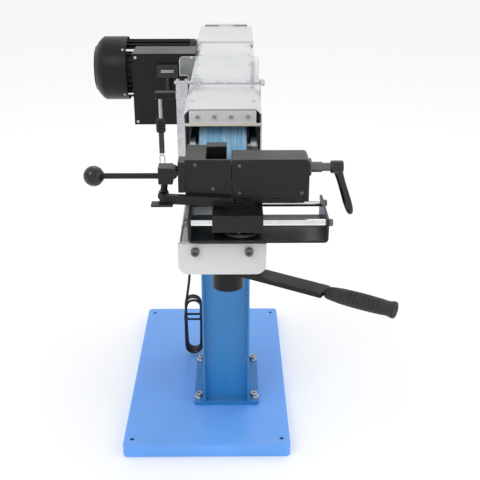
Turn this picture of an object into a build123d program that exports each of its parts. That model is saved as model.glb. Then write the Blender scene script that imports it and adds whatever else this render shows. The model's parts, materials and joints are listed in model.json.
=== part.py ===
"""Floor-standing belt notching grinder: an abrasive belt runs over a contact roller at the
front window, and a pipe vice on cross slides feeds a tube end into it.

Millimetres, +Z up, origin on the floor at the centre of the base plate, +Y towards the rear.
"""
import os
from math import atan2, cos, degrees, hypot, pi, radians, sin, tan

from build123d import *

os.makedirs("parts", exist_ok=True)

# ---------------------------------------------------------------- driving dimensions
# Fits: what turns or slides keeps these gaps.
fit = 0.1            # radial clearance of a shaft or a pin in its bore
running = 0.4        # gap between pieces that move past each other
seat = 0.2           # radial clearance of a screw in its hole

# Base and pedestal
base_width = 450
base_length = 780
base_height = 35
base_sheet = 5
base_corner = 14
anchor_hole = 12
anchor_inset_x = 23
anchor_inset_y = 32
column_width = 130
column_depth = 260
column_front = -203
column_flange = 5
column_web = 5
column_setback = 22
foot_thickness = 12
foot_margin = 28
head_thickness = 10
foot_bolt = 12
weld_pitch = 90
weld_length = 26
weld_leg = 4
seam_width = 3

# Belt run
body_x = 52          # centre plane of the belt, right of the base centre
roller_y = -472      # axis of the contact roller
roller_z = 889
roller_distance = 847
contact_diameter = 76
drive_diameter = 120
belt_width = 100
belt_thickness = 1.2
belt_gap = 0.3
roller_width = 104
contact_shaft = 20
drive_shaft = 28
bearing_width = 14
bearing_radius = 21
yoke_length = 330
yoke_height = 30
yoke_bar = 16
guide_length = 50
spring_length = 104
spring_radius = 13
tail_rod = 12
bulkhead_sheet = 8
pull_width = 10
release_y = 729      # release lever pivot, behind the roller axis
release_z = 36
release_shaft = 12
release_arm = 26
release_blade = 12
release_length = 36

# Body shell
body_width = 164
body_sheet = 3
body_bottom = 725
body_top = 980
hood_height = 30
hood_bevel = 12
hood_sheet = 2
window_lead = 38     # the window plane, ahead of the roller axis
body_rear = 1060     # rear wall, behind the roller axis
hood_length = 798
channel_lead = 288   # front end of the lower channel, ahead of the roller axis
channel_height = 58
front_plate_thickness = 6
front_corner = 20
channel_head = 10
screw_spread = 51
strip_width = 140
strip_height = 27
strip_sheet = 3
lip_height = 4
lip_depth = 9
cover_rise = 5
cover_overhang = 1.6
cover_drop = 15
hinge_barrel = 6
hinge_width = 139
spigot_diameter = 100
spigot_length = 55
spigot_z = 800
slot_width = 8

# Motor
motor_diameter = 176
motor_fin = 9
motor_length = 206
motor_fins = 28
flange_spread = 87    # motor bolts, along and above the shaft
flange_rise = 61
flange_edge = 12
flange_thickness = 12
cowl_diameter = 192
cowl_length = 92
cowl_sheet = 2
shield_thickness = 10
tie_rod = 7
drive_shield = 14
barrel_wall = 8
stator_end = 30
stator_bore = 92
fan_diameter = 160

# Switch cabinet on the left wall
cabinet_width = 176
cabinet_depth = 120
cabinet_bottom = 783
cabinet_height = 200
cabinet_front = 98   # front face, behind the base centre
cabinet_sheet = 2
switch_width = 58
switch_height = 34
switch_depth = 14
switch_recess = 10
paddle_inset = 3
paddle_pin = 4
paddle_pin_length = 3
paddle_width = 35
paddle_height = 9
conduit_diameter = 14
conduit_ring = 3
conduit_length = 52
gland_diameter = 20
gland_length = 24
cord_diameter = 8
cord_out = 34        # mains lead, left of the body wall
cord_inset = 14      # and behind the cabinet's lid
hank_width = 57
hank_depth = 34
hank_top = 246
hank_bottom = 40
hank_out = 22        # hank, left of the body wall
hank_forward = 28    # and in front of the gland

# Guard post and eye shield
post_width = 26
post_depth = 24
post_sheet = 2
post_bottom = 818
post_top = 1000
post_y = -322
shield_axis_z = 994
shield_rod = 8
shield_width = 181
shield_height = 58
shield_sheet = 3
shield_corner = 9
clamp_width = 18
clamp_height = 20
bracket_width = 14
bracket_sheet = 3

# Hanging strap beside the post
hanger_reach = 49
hanger_height = 14
hanger_z = 959
strap_width = 12
strap_sheet = 5

# Feed slide in the lower channel
rail = 12
rail_z = 752
slide_length = 106
slide_neck = 100
feed_travel = 45
pinion_radius = 36
pinion_teeth = 24
tooth_height = 5
pinion_width = 9
hub_diameter = 64
hub_offset = 10      # lever axis, right of the body centre
hub_lead = 200       # lever axis, ahead of the roller axis
hub_height = 50
boss_height = 14
feed_plate_width = 118
feed_plate_thickness = 8
feed_shaft = 25
lever_width = 40
lever_thickness = 10
lever_length = 363
lever_angle = -32
grip_length = 140
grip_diameter = 32

# Cross slide
tray_width = 262
tray_left = -63      # from the body centre
tray_front = 304     # ahead of the roller axis
tray_depth = 134
tray_corner = 8
tray_sheet = 5
tray_z = 791
tray_height = 47
rod_diameter = 14
guide_z = 826
rod_inset = 15
block_left = -18
block_width = 95
block_bottom = 812
block_height = 33
bush_wall = 3
bush_length = 20
turntable_diameter = 98
turntable_height = 8
pivot_pin = 16
lock_wheel = 76
lock_x = 36          # lock wheel, right of the body centre
lock_lead = 262      # and ahead of the roller axis

# Vice
jaw_front = 250      # ahead of the roller axis
left_depth = 100
right_depth = 64
jaw_left = -69
jaw_split = 18.5     # where the two jaws meet, right of the body centre
jaw_height = 77
bed_height = 6
housing_width = 146
housing_wall = 6
housing_corner = 9
insert_length = 42
vee_left = 26
vee_right = 20
vee_plate = 30
vee_lip = 9
vee_rise = 7
face_plate = 6
jaw_body = 39
side_block = 13
spindle = 20
spindle_z = 912
spindle_neck = 26    # thick part of the spindle outside the housing
spindle_tail = 16
handle_hub = 25
handle_length = 96
handle_cone = 18
crank_x = -112       # clamp pivot, from the body centre
crank_z = 863
crank_arm = 46
crank_tube = 13
nose_radius = 10
hub_block = 27
ball_diameter = 39
ball_reach = 130
lever_rod = 11
lever_rise = 38
arm_thickness = 12
arm_height = 17
arm_fall = 7

# ---------------------------------------------------------------- derived places
base_top = base_height
left_wall = body_x - body_width / 2
right_wall = body_x + body_width / 2
window_y = roller_y - window_lead
channel_y = roller_y - channel_lead
rear_y = roller_y + body_rear
hood_rear = window_y + hood_length
drive_y = roller_y + roller_distance
wall_top = body_top - hood_height
floor_top = body_bottom + body_sheet
channel_top = body_bottom + channel_height
column_left = body_x - column_width / 2
column_right = body_x + column_width / 2
column_rear = column_front + column_depth
foot_top = base_top + foot_thickness
head_bottom = body_bottom - head_thickness
rear_wall_top = body_top + cover_rise - hood_sheet - running
cover_front = hood_rear + 2
step_y = cover_front + hood_sheet + running
block_top = block_bottom + block_height
bed_bottom = block_top + running + turntable_height
jaw_bottom = bed_bottom + bed_height
jaw_top = jaw_bottom + jaw_height
jaw_y0 = roller_y - jaw_front
jaw_y1 = jaw_y0 + left_depth
swivel_x = body_x + block_left + block_width / 2
swivel_y = jaw_y0 + 0.365 * left_depth
cabinet_right = left_wall
cabinet_left = cabinet_right - cabinet_width
cabinet_top = cabinet_bottom + cabinet_height
cabinet_rear = cabinet_front + cabinet_depth
hub_x = body_x + hub_offset
hub_y = roller_y - hub_lead


# ---------------------------------------------------------------- small shared shapes
def slab(x0, x1, y0, y1, z0, z1, mode=Mode.ADD):
    """A rectangular block between two corners, in the part being built."""
    with Locations(((x0 + x1) / 2, (y0 + y1) / 2, (z0 + z1) / 2)):
        Box(x1 - x0, y1 - y0, z1 - z0, mode=mode)


def rod_x(x0, x1, y, z, radius, mode=Mode.ADD):
    """A round bar or bore along X."""
    with Locations(Location(((x0 + x1) / 2, y, z), (0, 90, 0))):
        Cylinder(radius, x1 - x0, mode=mode)


def rod_y(y0, y1, x, z, radius, mode=Mode.ADD):
    """A round bar or bore along Y."""
    with Locations(Location((x, (y0 + y1) / 2, z), (-90, 0, 0))):
        Cylinder(radius, y1 - y0, mode=mode)


def rod_z(z0, z1, x, y, radius, mode=Mode.ADD):
    """A round bar or bore along Z."""
    with Locations((x, y, (z0 + z1) / 2)):
        Cylinder(radius, z1 - z0, mode=mode)


def cap_screw(place, size, length):
    """A socket cap screw: the head seat is at the location, its shank runs along -Z there."""
    head = size * 0.8
    with Locations(place):
        with Locations((0, 0, size / 2)):
            Cylinder(head, size)
        with Locations((0, 0, size * 0.8)):
            Cylinder(size * 0.42, size * 0.5, mode=Mode.SUBTRACT)
        with Locations((0, 0, -length / 2)):
            Cylinder(size / 2 - seat, length)


def facing(x, y, z, side):
    """A location whose +Z looks to the named side, for a screw head there."""
    turn = {"front": (90, 0, 0), "rear": (-90, 0, 0), "left": (0, -90, 0),
            "right": (0, 90, 0), "up": (0, 0, 0), "down": (180, 0, 0)}[side]
    return Location((x, y, z), turn)


# ---------------------------------------------------------------- base and pedestal
foot_bolts = [
    (x, y)
    for x in (column_left - foot_margin / 2, column_right + foot_margin / 2)
    for y in (column_front + foot_margin, column_rear - foot_margin)
]
anchor_x = base_width / 2 - anchor_inset_x
anchor_y = base_length / 2 - anchor_inset_y

with BuildPart() as base_plate:
    with BuildSketch():
        RectangleRounded(base_width, base_length, base_corner)
    extrude(amount=base_height)
    with BuildSketch():
        RectangleRounded(base_width - 2 * base_sheet, base_length - 2 * base_sheet, base_corner - base_sheet)
    extrude(amount=base_height - base_sheet, mode=Mode.SUBTRACT)
    fillet(base_plate.faces().sort_by(Axis.Z)[-1].edges(), radius=base_sheet * 0.8)
    with Locations(*[(x, y, base_height / 2) for x in (-anchor_x, anchor_x) for y in (-anchor_y, anchor_y)]):
        Cylinder(anchor_hole / 2, base_height * 2, mode=Mode.SUBTRACT)
    with Locations(*[(x, y, base_height / 2) for x, y in foot_bolts]):
        Cylinder(foot_bolt / 2, base_height * 2, mode=Mode.SUBTRACT)
base_plate.part.label = "base_plate"
export_step(base_plate.part, "parts/base_plate.step")

head_bolts = [
    (body_x + side * (column_width / 2 - 22), y)
    for side in (-1, 1)
    for y in (column_front + column_setback + 26, column_rear - column_setback - 26)
]
web_left = column_left + column_flange
web_right = column_right - column_flange
web_front = column_front + column_setback
with BuildPart() as column:
    # foot and head plates
    slab(column_left - foot_margin, column_right + foot_margin, column_front, column_rear, base_top, foot_top)
    fillet(column.edges().filter_by(Axis.Z), radius=10)
    slab(column_left, column_right, column_front, column_rear, head_bottom, body_bottom)
    # two cheeks, with a web set back between them at the front and at the rear
    for x in (column_left, web_right):
        slab(x, x + column_flange, column_front, column_rear, foot_top, head_bottom)
    for y in (web_front, column_rear - column_setback - column_web):
        slab(web_left, web_right, y, y + column_web, foot_top, head_bottom)
    # stitch welds along both cheeks, and a seam up the middle of the front web
    beads = int((head_bottom - foot_top) / weld_pitch)
    for number in range(beads):
        bead_z = foot_top + weld_pitch * (number + 0.5)
        for x in (web_left, web_right - weld_leg):
            slab(x, x + weld_leg, web_front - weld_leg, web_front, bead_z - weld_length / 2,
                 bead_z + weld_length / 2)
    slab(body_x - seam_width / 2, body_x + seam_width / 2, web_front - 1, web_front, foot_top, head_bottom)
    with Locations(*[(x, y, foot_top) for x, y in foot_bolts], *[(x, y, head_bottom) for x, y in head_bolts]):
        Cylinder(foot_bolt / 2, head_thickness * 4, mode=Mode.SUBTRACT)
column.part.label = "column"
export_step(column.part, "parts/column.step")

with BuildPart() as pedestal_bolts:
    for x, y in foot_bolts:
        cap_screw(facing(x, y, foot_top, "up"), foot_bolt, foot_thickness + base_sheet + 8)
    for x, y in head_bolts:
        cap_screw(facing(x, y, floor_top, "up"), foot_bolt, body_sheet + head_thickness + 12)
pedestal_bolts.part.label = "pedestal_bolts"
export_step(pedestal_bolts.part, "parts/pedestal_bolts.step")

# ---------------------------------------------------------------- body shell
screw_x = [body_x + offset for offset in (-screw_spread, screw_spread)]
screw_z = channel_top - 15
head_y = channel_y + front_plate_thickness
lever_pivot_y = roller_y + release_y
lever_pivot_z = roller_z + release_z
with BuildPart() as body_floor:
    # floor sheet with a thick head behind the front plate and an upright rear wall
    slab(left_wall + body_sheet, right_wall - body_sheet, head_y, rear_y, body_bottom, floor_top)
    slab(left_wall + body_sheet, right_wall - body_sheet, head_y, head_y + channel_head, floor_top,
         channel_top - 2)
    slab(left_wall + body_sheet, right_wall - body_sheet, rear_y - body_sheet, rear_y, floor_top,
         body_top + cover_rise - hinge_barrel)
    rod_z(body_bottom - 1, floor_top + 1, hub_x, hub_y, feed_shaft / 2 + 2, Mode.SUBTRACT)
    for x in screw_x:
        rod_y(head_y - 1, head_y + channel_head + 1, x, screw_z, 5, Mode.SUBTRACT)
    rod_y(rear_y - body_sheet - 1, rear_y + 1, body_x, spigot_z, spigot_diameter / 2 - 2, Mode.SUBTRACT)
    with Locations(*[(x, y, body_bottom) for x, y in head_bolts]):
        Cylinder(foot_bolt / 2, head_thickness * 4, mode=Mode.SUBTRACT)
body_floor.part.label = "body_floor"
export_step(body_floor.part, "parts/body_floor.step")

for side, x in (("left", left_wall), ("right", right_wall - body_sheet)):
    with BuildPart() as side_wall:
        with BuildSketch(Plane.YZ.offset(x)):
            with BuildLine():
                Polyline(
                    (head_y, body_bottom), (rear_y, body_bottom), (rear_y, rear_wall_top),
                    (step_y, rear_wall_top), (step_y, wall_top), (window_y, wall_top),
                    (window_y, channel_top), (head_y, channel_top), close=True)
            make_face()
        extrude(amount=body_sheet)
        if side == "left":
            rod_x(x - 1, x + body_sheet + 1, drive_y, roller_z, drive_shaft / 2 + 5, Mode.SUBTRACT)
            rod_x(x - 1, x + body_sheet + 1, lever_pivot_y, lever_pivot_z, release_shaft / 2 + fit,
                  Mode.SUBTRACT)
    side_wall.part.label = f"side_wall_{side}"
    export_step(side_wall.part, f"parts/side_wall_{side}.step")

with BuildPart() as dust_spigot:
    rod_y(rear_y, rear_y + spigot_length, body_x, spigot_z, spigot_diameter / 2)
    rod_y(rear_y, rear_y + 3, body_x, spigot_z, spigot_diameter / 2 + 12)
    rod_y(rear_y - 1, rear_y + spigot_length + 1, body_x, spigot_z, spigot_diameter / 2 - 2, Mode.SUBTRACT)
dust_spigot.part.label = "dust_spigot"
export_step(dust_spigot.part, "parts/dust_spigot.step")

with BuildPart() as front_plate:
    with BuildSketch(Plane.XZ.offset(-channel_y - front_plate_thickness)):
        with Locations((body_x, body_bottom + channel_height / 2 - 3)):
            Rectangle(body_width + 4, channel_height + 6)
    extrude(amount=front_plate_thickness)
    lower = front_plate.edges().filter_by(Axis.Y).group_by(Axis.Z)[0]
    fillet(lower, radius=front_corner)
    for x in screw_x:
        rod_y(channel_y - 1, channel_y + front_plate_thickness + 1, x, screw_z, 5, Mode.SUBTRACT)
front_plate.part.label = "front_plate"
export_step(front_plate.part, "parts/front_plate.step")


def hood_outline(inset):
    """Cross-section of the hood, bevelled at both shoulders, drawn inwards by the inset."""
    half = body_width / 2 - inset
    bevel = hood_bevel - inset * (1 - tan(pi / 8))
    low = wall_top
    high = body_top - inset
    Polyline(
        (body_x - half, low), (body_x - half, high - bevel), (body_x - half + bevel, high),
        (body_x + half - bevel, high), (body_x + half, high - bevel), (body_x + half, low), close=True)


with BuildPart() as hood:
    with BuildSketch(Plane.XZ.offset(-hood_rear)):
        with BuildLine():
            hood_outline(0)
        make_face()
    extrude(amount=hood_length)
    with BuildSketch(Plane.XZ.offset(-hood_rear)):
        with BuildLine():
            hood_outline(hood_sheet)
        make_face()
    extrude(amount=hood_length, mode=Mode.SUBTRACT)
    # handling slot at the right rear corner
    slab(right_wall - slot_width, right_wall + 1, hood_rear - 40, hood_rear + 1, wall_top + 10, body_top + 1,
         Mode.SUBTRACT)
hood.part.label = "hood"
export_step(hood.part, "parts/hood.step")

# Front strip of the hood, folded out at its foot into the lip over the window
strip_screws = [(body_x + strip_width / 4 * (number - 1.5)) for number in range(4)]
strip_mid = wall_top + strip_height / 2 + 1
with BuildPart() as hood_strip:
    slab(body_x - strip_width / 2, body_x + strip_width / 2, window_y - strip_sheet, window_y,
         wall_top - lip_height, wall_top + strip_height)
    slab(left_wall, right_wall, window_y - lip_depth, window_y, wall_top - lip_height, wall_top)
    for x in strip_screws:
        rod_y(window_y - strip_sheet - 1, window_y + 1, x, strip_mid, 2.5, Mode.SUBTRACT)
hood_strip.part.label = "hood_strip"
export_step(hood_strip.part, "parts/hood_strip.step")

with BuildPart() as cover_screws:
    for x in strip_screws:
        cap_screw(facing(x, window_y - strip_sheet, strip_mid, "front"), 5, strip_sheet + 1)
    for x in (cabinet_left + 10, cabinet_right - 10):
        for z in (cabinet_bottom + 10, cabinet_top - 10):
            cap_screw(facing(x, cabinet_front, z, "front"), 5, 1.5)
cover_screws.part.label = "cover_screws"
export_step(cover_screws.part, "parts/cover_screws.step")

# Rear cover, hinged along the rear edge: the middle knuckle is the cover's, the outer two the wall's
cover_top = body_top + cover_rise
cover_half = body_width / 2 + cover_overhang
hinge_radius = hinge_barrel / 2 + 1
hinge_z = cover_top + hinge_radius
hinge_y = rear_y - hinge_radius
knuckle = hinge_width / 3
hinge_pin = 3
cover_rear = hinge_y - hinge_radius - running
with BuildPart() as rear_cover:
    slab(body_x - cover_half, body_x + cover_half, cover_front, cover_rear, cover_top - cover_drop, cover_top)
    slab(body_x - cover_half + hood_sheet / 2, body_x + cover_half - hood_sheet / 2, cover_front + hood_sheet,
         cover_rear + 1, cover_top - cover_drop - 1, cover_top - hood_sheet, Mode.SUBTRACT)
    slab(body_x - knuckle / 2 + running, body_x + knuckle / 2 - running, cover_rear - 8, hinge_y,
         cover_top - hood_sheet, cover_top)
    slab(body_x - knuckle / 2 + running, body_x + knuckle / 2 - running, hinge_y - hinge_radius, hinge_y,
         cover_top, hinge_z)
    rod_x(body_x - knuckle / 2 + running, body_x + knuckle / 2 - running, hinge_y, hinge_z, hinge_radius)
    rod_x(body_x - knuckle, body_x + knuckle, hinge_y, hinge_z, hinge_pin / 2 + fit, Mode.SUBTRACT)
rear_cover.part.label = "rear_cover"
export_step(rear_cover.part, "parts/rear_cover.step")

with BuildPart() as rear_hinge:
    for side in (-1, 1):
        inner = body_x + side * knuckle / 2
        outer = body_x + side * hinge_width / 2
        slab(min(inner, outer), max(inner, outer), rear_y - body_sheet, rear_y,
             body_top + cover_rise - hinge_barrel, hinge_z)
        rod_x(min(inner, outer), max(inner, outer), hinge_y, hinge_z, hinge_radius)
    rod_x(body_x - hinge_width / 2, body_x + hinge_width / 2, hinge_y, hinge_z, hinge_pin / 2)
rear_hinge.part.label = "rear_hinge"
export_step(rear_hinge.part, "parts/rear_hinge.step")

# ---------------------------------------------------------------- belt, rollers and tension
contact_radius = contact_diameter / 2
drive_radius = drive_diameter / 2
roller_left = body_x - roller_width / 2
roller_right = body_x + roller_width / 2


def belt_loop(gap):
    """Both rollers wrapped at the given gap: a hull in the plane across the rollers."""
    with Locations((roller_y, roller_z)):
        Circle(contact_radius + gap)
    with Locations((drive_y, roller_z)):
        Circle(drive_radius + gap)
    make_hull()


with BuildPart() as abrasive_belt:
    with BuildSketch(Plane.YZ.offset(body_x - belt_width / 2)):
        belt_loop(belt_gap + belt_thickness)
    extrude(amount=belt_width)
    with BuildSketch(Plane.YZ.offset(body_x - belt_width / 2)):
        belt_loop(belt_gap)
    extrude(amount=belt_width, mode=Mode.SUBTRACT)
abrasive_belt.part.label = "abrasive_belt"
export_step(abrasive_belt.part, "parts/abrasive_belt.step")

bearing_left = roller_left - 6 - bearing_width
bearing_right = roller_right + 6
with BuildPart() as contact_roller:
    rod_x(roller_left, roller_right, roller_y, roller_z, contact_radius)
    rod_x(roller_left - 1, roller_right + 1, roller_y, roller_z, contact_shaft / 2, Mode.SUBTRACT)
contact_roller.part.label = "contact_roller"
export_step(contact_roller.part, "parts/contact_roller.step")

with BuildPart() as contact_shaft_bar:
    rod_x(bearing_left - 3, bearing_right + bearing_width + 3, roller_y, roller_z, contact_shaft / 2)
contact_shaft_bar.part.label = "contact_shaft"
export_step(contact_shaft_bar.part, "parts/contact_shaft.step")

# Tension yoke: two side bars and a cross bar slide on guides, pushed forward by a spring round the
# tail rod; a pull bar on the left runs back to the release lever
yoke_rear = roller_y + yoke_length
yoke_low = roller_z - yoke_height / 2
yoke_high = roller_z + yoke_height / 2
spring_y0 = yoke_rear + running
spring_y1 = spring_y0 + spring_length
bulkhead_y = spring_y1 + running
pull_z = lever_pivot_z - release_arm
pull_end = lever_pivot_y - release_blade / 2 - running
with BuildPart() as tension_yoke:
    for x in (bearing_left, bearing_right):
        slab(x, x + bearing_width, roller_y, yoke_rear, yoke_low, yoke_high)
        rod_x(x, x + bearing_width, roller_y, roller_z, bearing_radius)
    slab(bearing_left, bearing_right + bearing_width, yoke_rear - yoke_bar, yoke_rear, yoke_low, yoke_high)
    slab(bearing_left, bearing_left + pull_width, yoke_rear - 1, pull_end, pull_z - pull_width / 2,
         pull_z + pull_width / 2)
    rod_y(yoke_rear - 1, bulkhead_y + bulkhead_sheet + 25, body_x, roller_z, tail_rod / 2)
    rod_x(bearing_left - 1, bearing_right + bearing_width + 1, roller_y, roller_z,
          contact_shaft / 2 + fit, Mode.SUBTRACT)
tension_yoke.part.label = "tension_yoke"
export_step(tension_yoke.part, "parts/tension_yoke.step")

with BuildPart() as yoke_guides:
    # four channel blocks on the walls, each beside and under a bar, and the bulkhead behind the spring
    for wall, bar, outer in ((left_wall + body_sheet, bearing_left, -1),
                             (right_wall - body_sheet, bearing_right + bearing_width, 1)):
        for y in (roller_y + 90, yoke_rear - 90):
            beside = bar + outer * running
            slab(min(wall, beside), max(wall, beside), y, y + guide_length, yoke_low - 8, yoke_high + 8)
            under = bar - outer * bearing_width
            slab(min(wall, under), max(wall, under), y, y + guide_length, yoke_low - 8, yoke_low - running)
    slab(left_wall + body_sheet, right_wall - body_sheet, bulkhead_y, bulkhead_y + bulkhead_sheet,
         roller_z - 30, roller_z + 30)
    rod_y(bulkhead_y - 1, bulkhead_y + bulkhead_sheet + 1, body_x, roller_z, tail_rod / 2 + fit,
          Mode.SUBTRACT)
    slab(bearing_left - 1, bearing_left + pull_width + 1, bulkhead_y - 1, bulkhead_y + bulkhead_sheet + 1,
         pull_z - pull_width / 2 - 1, pull_z + pull_width / 2 + 1, Mode.SUBTRACT)
yoke_guides.part.label = "yoke_guides"
export_step(yoke_guides.part, "parts/yoke_guides.step")

with BuildPart() as tension_spring:
    with BuildSketch(Plane.XZ.offset(-spring_y1)):
        with Locations((body_x, roller_z)):
            Circle(spring_radius)
            Circle(tail_rod / 2 + running, mode=Mode.SUBTRACT)
    extrude(amount=spring_y1 - spring_y0)
tension_spring.part.label = "tension_spring"
export_step(tension_spring.part, "parts/tension_spring.step")

with BuildPart() as tension_lever:
    # shaft through the wall, hand lever with a round knob outside, blade against the pull bar inside
    rod_x(left_wall - 12, left_wall + body_sheet + 12, lever_pivot_y, lever_pivot_z, release_shaft / 2)
    slab(left_wall - 12, left_wall - 7, lever_pivot_y - 3, lever_pivot_y + 3, lever_pivot_z,
         lever_pivot_z + release_length)
    with Locations((left_wall - 9.5, lever_pivot_y, lever_pivot_z + release_length)):
        Sphere(6)
    slab(left_wall + body_sheet + 4, left_wall + body_sheet + 12, lever_pivot_y - release_blade / 2,
         lever_pivot_y + release_blade / 2, pull_z - pull_width / 2, lever_pivot_z)
tension_lever.part.label = "tension_lever"
export_step(tension_lever.part, "parts/tension_lever.step")

with BuildPart() as drive_roller:
    rod_x(roller_left, roller_right, drive_y, roller_z, drive_radius)
    rod_x(roller_left - 1, roller_right + 1, drive_y, roller_z, drive_shaft / 2, Mode.SUBTRACT)
drive_roller.part.label = "drive_roller"
export_step(drive_roller.part, "parts/drive_roller.step")

# ---------------------------------------------------------------- motor, its shaft through the left wall
flange_x = left_wall - flange_thickness
motor_x = flange_x - motor_length
shield_x = motor_x - shield_thickness
motor_radius = motor_diameter / 2
fan_x = shield_x - 14 - 34
bolt_places = [(drive_y + u * flange_spread, roller_z + v * flange_rise) for u in (-1, 1) for v in (-1, 1)]
with BuildPart() as motor_flange:
    # square flange on the wall, with the drive-end shield of the motor in one casting
    with BuildSketch(Plane.YZ.offset(flange_x)):
        with Locations((drive_y, roller_z)):
            RectangleRounded(2 * (flange_spread + flange_edge), 2 * (flange_rise + flange_edge), flange_edge)
    extrude(amount=flange_thickness)
    rod_x(flange_x - drive_shield, flange_x, drive_y, roller_z, motor_radius)
    rod_x(flange_x - drive_shield - 1, left_wall + 1, drive_y, roller_z, drive_shaft / 2 + fit, Mode.SUBTRACT)
    for bolt_y, bolt_z in bolt_places:
        rod_x(flange_x - 1, left_wall + 1, bolt_y, bolt_z, 5, Mode.SUBTRACT)
motor_flange.part.label = "motor_flange"
export_step(motor_flange.part, "parts/motor_flange.step")

with BuildPart() as ten_mm_screws:
    for bolt_y, bolt_z in bolt_places:
        cap_screw(facing(flange_x, bolt_y, bolt_z, "left"), 10, flange_thickness)
    for x in screw_x:
        cap_screw(facing(x, channel_y, screw_z, "front"), 10, front_plate_thickness + 8)
ten_mm_screws.part.label = "ten_mm_screws"
export_step(ten_mm_screws.part, "parts/ten_mm_screws.step")

with BuildPart() as motor_frame:
    # finned barrel with the fan-end shield
    with BuildSketch(Plane.YZ.offset(motor_x)):
        with Locations((drive_y, roller_z)):
            Circle(motor_radius - motor_fin)
            with PolarLocations(motor_radius - motor_fin / 2 - 1, motor_fins):
                Rectangle(motor_fin + 2, 4)
            Circle(motor_radius - motor_fin - barrel_wall, mode=Mode.SUBTRACT)
    extrude(amount=motor_length - drive_shield)
    rod_x(shield_x, motor_x, drive_y, roller_z, motor_radius)
    rod_x(shield_x - 1, motor_x + 1, drive_y, roller_z, drive_shaft / 2 + fit, Mode.SUBTRACT)
motor_frame.part.label = "motor_frame"
export_step(motor_frame.part, "parts/motor_frame.step")

tie_circle = motor_radius + tie_rod / 2 + 0.5
with BuildPart() as motor_tie_rods:
    for angle in (45, 135, 225, 315):
        tie_y = drive_y + tie_circle * cos(radians(angle))
        tie_z = roller_z + tie_circle * sin(radians(angle))
        rod_x(motor_x + 0.5, flange_x - 0.5, tie_y, tie_z, tie_rod / 2)
        # feet that hold the rod on the two shields
        for x in (motor_x + 0.5, flange_x - 8.5):
            with Locations(Location((x + 4, tie_y, tie_z), (angle, 0, 0))):
                Box(8, 5, 5)
motor_tie_rods.part.label = "motor_tie_rods"
export_step(motor_tie_rods.part, "parts/motor_tie_rods.step")

with BuildPart() as motor_stator:
    rod_x(motor_x + stator_end, flange_x - drive_shield - stator_end, drive_y, roller_z,
          motor_radius - motor_fin - barrel_wall)
    rod_x(motor_x, flange_x, drive_y, roller_z, stator_bore / 2, Mode.SUBTRACT)
motor_stator.part.label = "motor_stator"
export_step(motor_stator.part, "parts/motor_stator.step")

with BuildPart() as motor_rotor:
    rod_x(motor_x + stator_end, flange_x - drive_shield - stator_end, drive_y, roller_z, stator_bore / 2 - 1)
    rod_x(fan_x - 4, roller_right + 8, drive_y, roller_z, drive_shaft / 2)
motor_rotor.part.label = "motor_rotor"
export_step(motor_rotor.part, "parts/motor_rotor.step")

with BuildPart() as motor_fan:
    rod_x(fan_x, fan_x + 5, drive_y, roller_z, fan_diameter / 2)
    with Locations(Location((fan_x + 5, drive_y, roller_z), (0, 90, 0))):
        with PolarLocations(fan_diameter / 2 - 22, 8):
            with Locations((0, 0, 12)):
                Box(36, 3, 24)
    rod_x(fan_x + 5, fan_x + 20, drive_y, roller_z, drive_shaft / 2 + 8)
    rod_x(fan_x - 1, fan_x + 30, drive_y, roller_z, drive_shaft / 2, Mode.SUBTRACT)
motor_fan.part.label = "motor_fan"
export_step(motor_fan.part, "parts/motor_fan.step")

# The cowl is a domed cup over the fan, turned about the motor axis, with air slots in its end
cowl_radius = cowl_diameter / 2
dome = 30
with BuildPart() as motor_cowl:
    with BuildSketch(Plane.XY.offset(roller_z)):
        with BuildLine():
            open_end = shield_x + shield_thickness
            far_end = shield_x - cowl_length
            outer_side = Line((open_end, drive_y - cowl_radius), (far_end + dome, drive_y - cowl_radius))
            outer_dome = ThreePointArc(outer_side @ 1, (far_end + dome * 0.29, drive_y - cowl_radius + dome * 0.71),
                                       (far_end, drive_y - cowl_radius + dome * 1.7))
            Line(outer_dome @ 1, (far_end, drive_y))
            Line((far_end, drive_y), (far_end + cowl_sheet, drive_y))
            inner_end = Line((far_end + cowl_sheet, drive_y),
                             (far_end + cowl_sheet, drive_y - cowl_radius + dome * 1.7))
            inner_dome = ThreePointArc(
                inner_end @ 1,
                (far_end + dome * 0.29 + cowl_sheet * 0.71, drive_y - cowl_radius + dome * 0.71 + cowl_sheet * 0.71),
                (far_end + dome, drive_y - cowl_radius + cowl_sheet))
            Line(inner_dome @ 1, (open_end, drive_y - cowl_radius + cowl_sheet))
            Line((open_end, drive_y - cowl_radius + cowl_sheet), (open_end, drive_y - cowl_radius))
        make_face()
    revolve(axis=Axis((0, drive_y, roller_z), (1, 0, 0)))
    with Locations(Location((far_end, drive_y, roller_z), (0, 90, 0))):
        with PolarLocations(32, 12):
            Box(24, 5, 3 * cowl_sheet, mode=Mode.SUBTRACT)
motor_cowl.part.label = "motor_cowl"
export_step(motor_cowl.part, "parts/motor_cowl.step")

# ---------------------------------------------------------------- switch cabinet on the left wall
cord_x = left_wall - cord_out
cord_y = cabinet_front + cord_inset
with BuildPart() as cabinet_box:
    slab(cabinet_left, cabinet_right, cabinet_front + cabinet_sheet, cabinet_rear, cabinet_bottom,
         cabinet_top)
    slab(cabinet_left + cabinet_sheet, cabinet_right - cabinet_sheet, cabinet_front,
         cabinet_rear - cabinet_sheet,
         cabinet_bottom + cabinet_sheet, cabinet_top - cabinet_sheet, Mode.SUBTRACT)
    rod_z(cabinet_bottom - 1, cabinet_bottom + cabinet_sheet + 1, cord_x, cord_y, cord_diameter / 2 + 2,
          Mode.SUBTRACT)
cabinet_box.part.label = "cabinet_box"
export_step(cabinet_box.part, "parts/cabinet_box.step")

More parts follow.
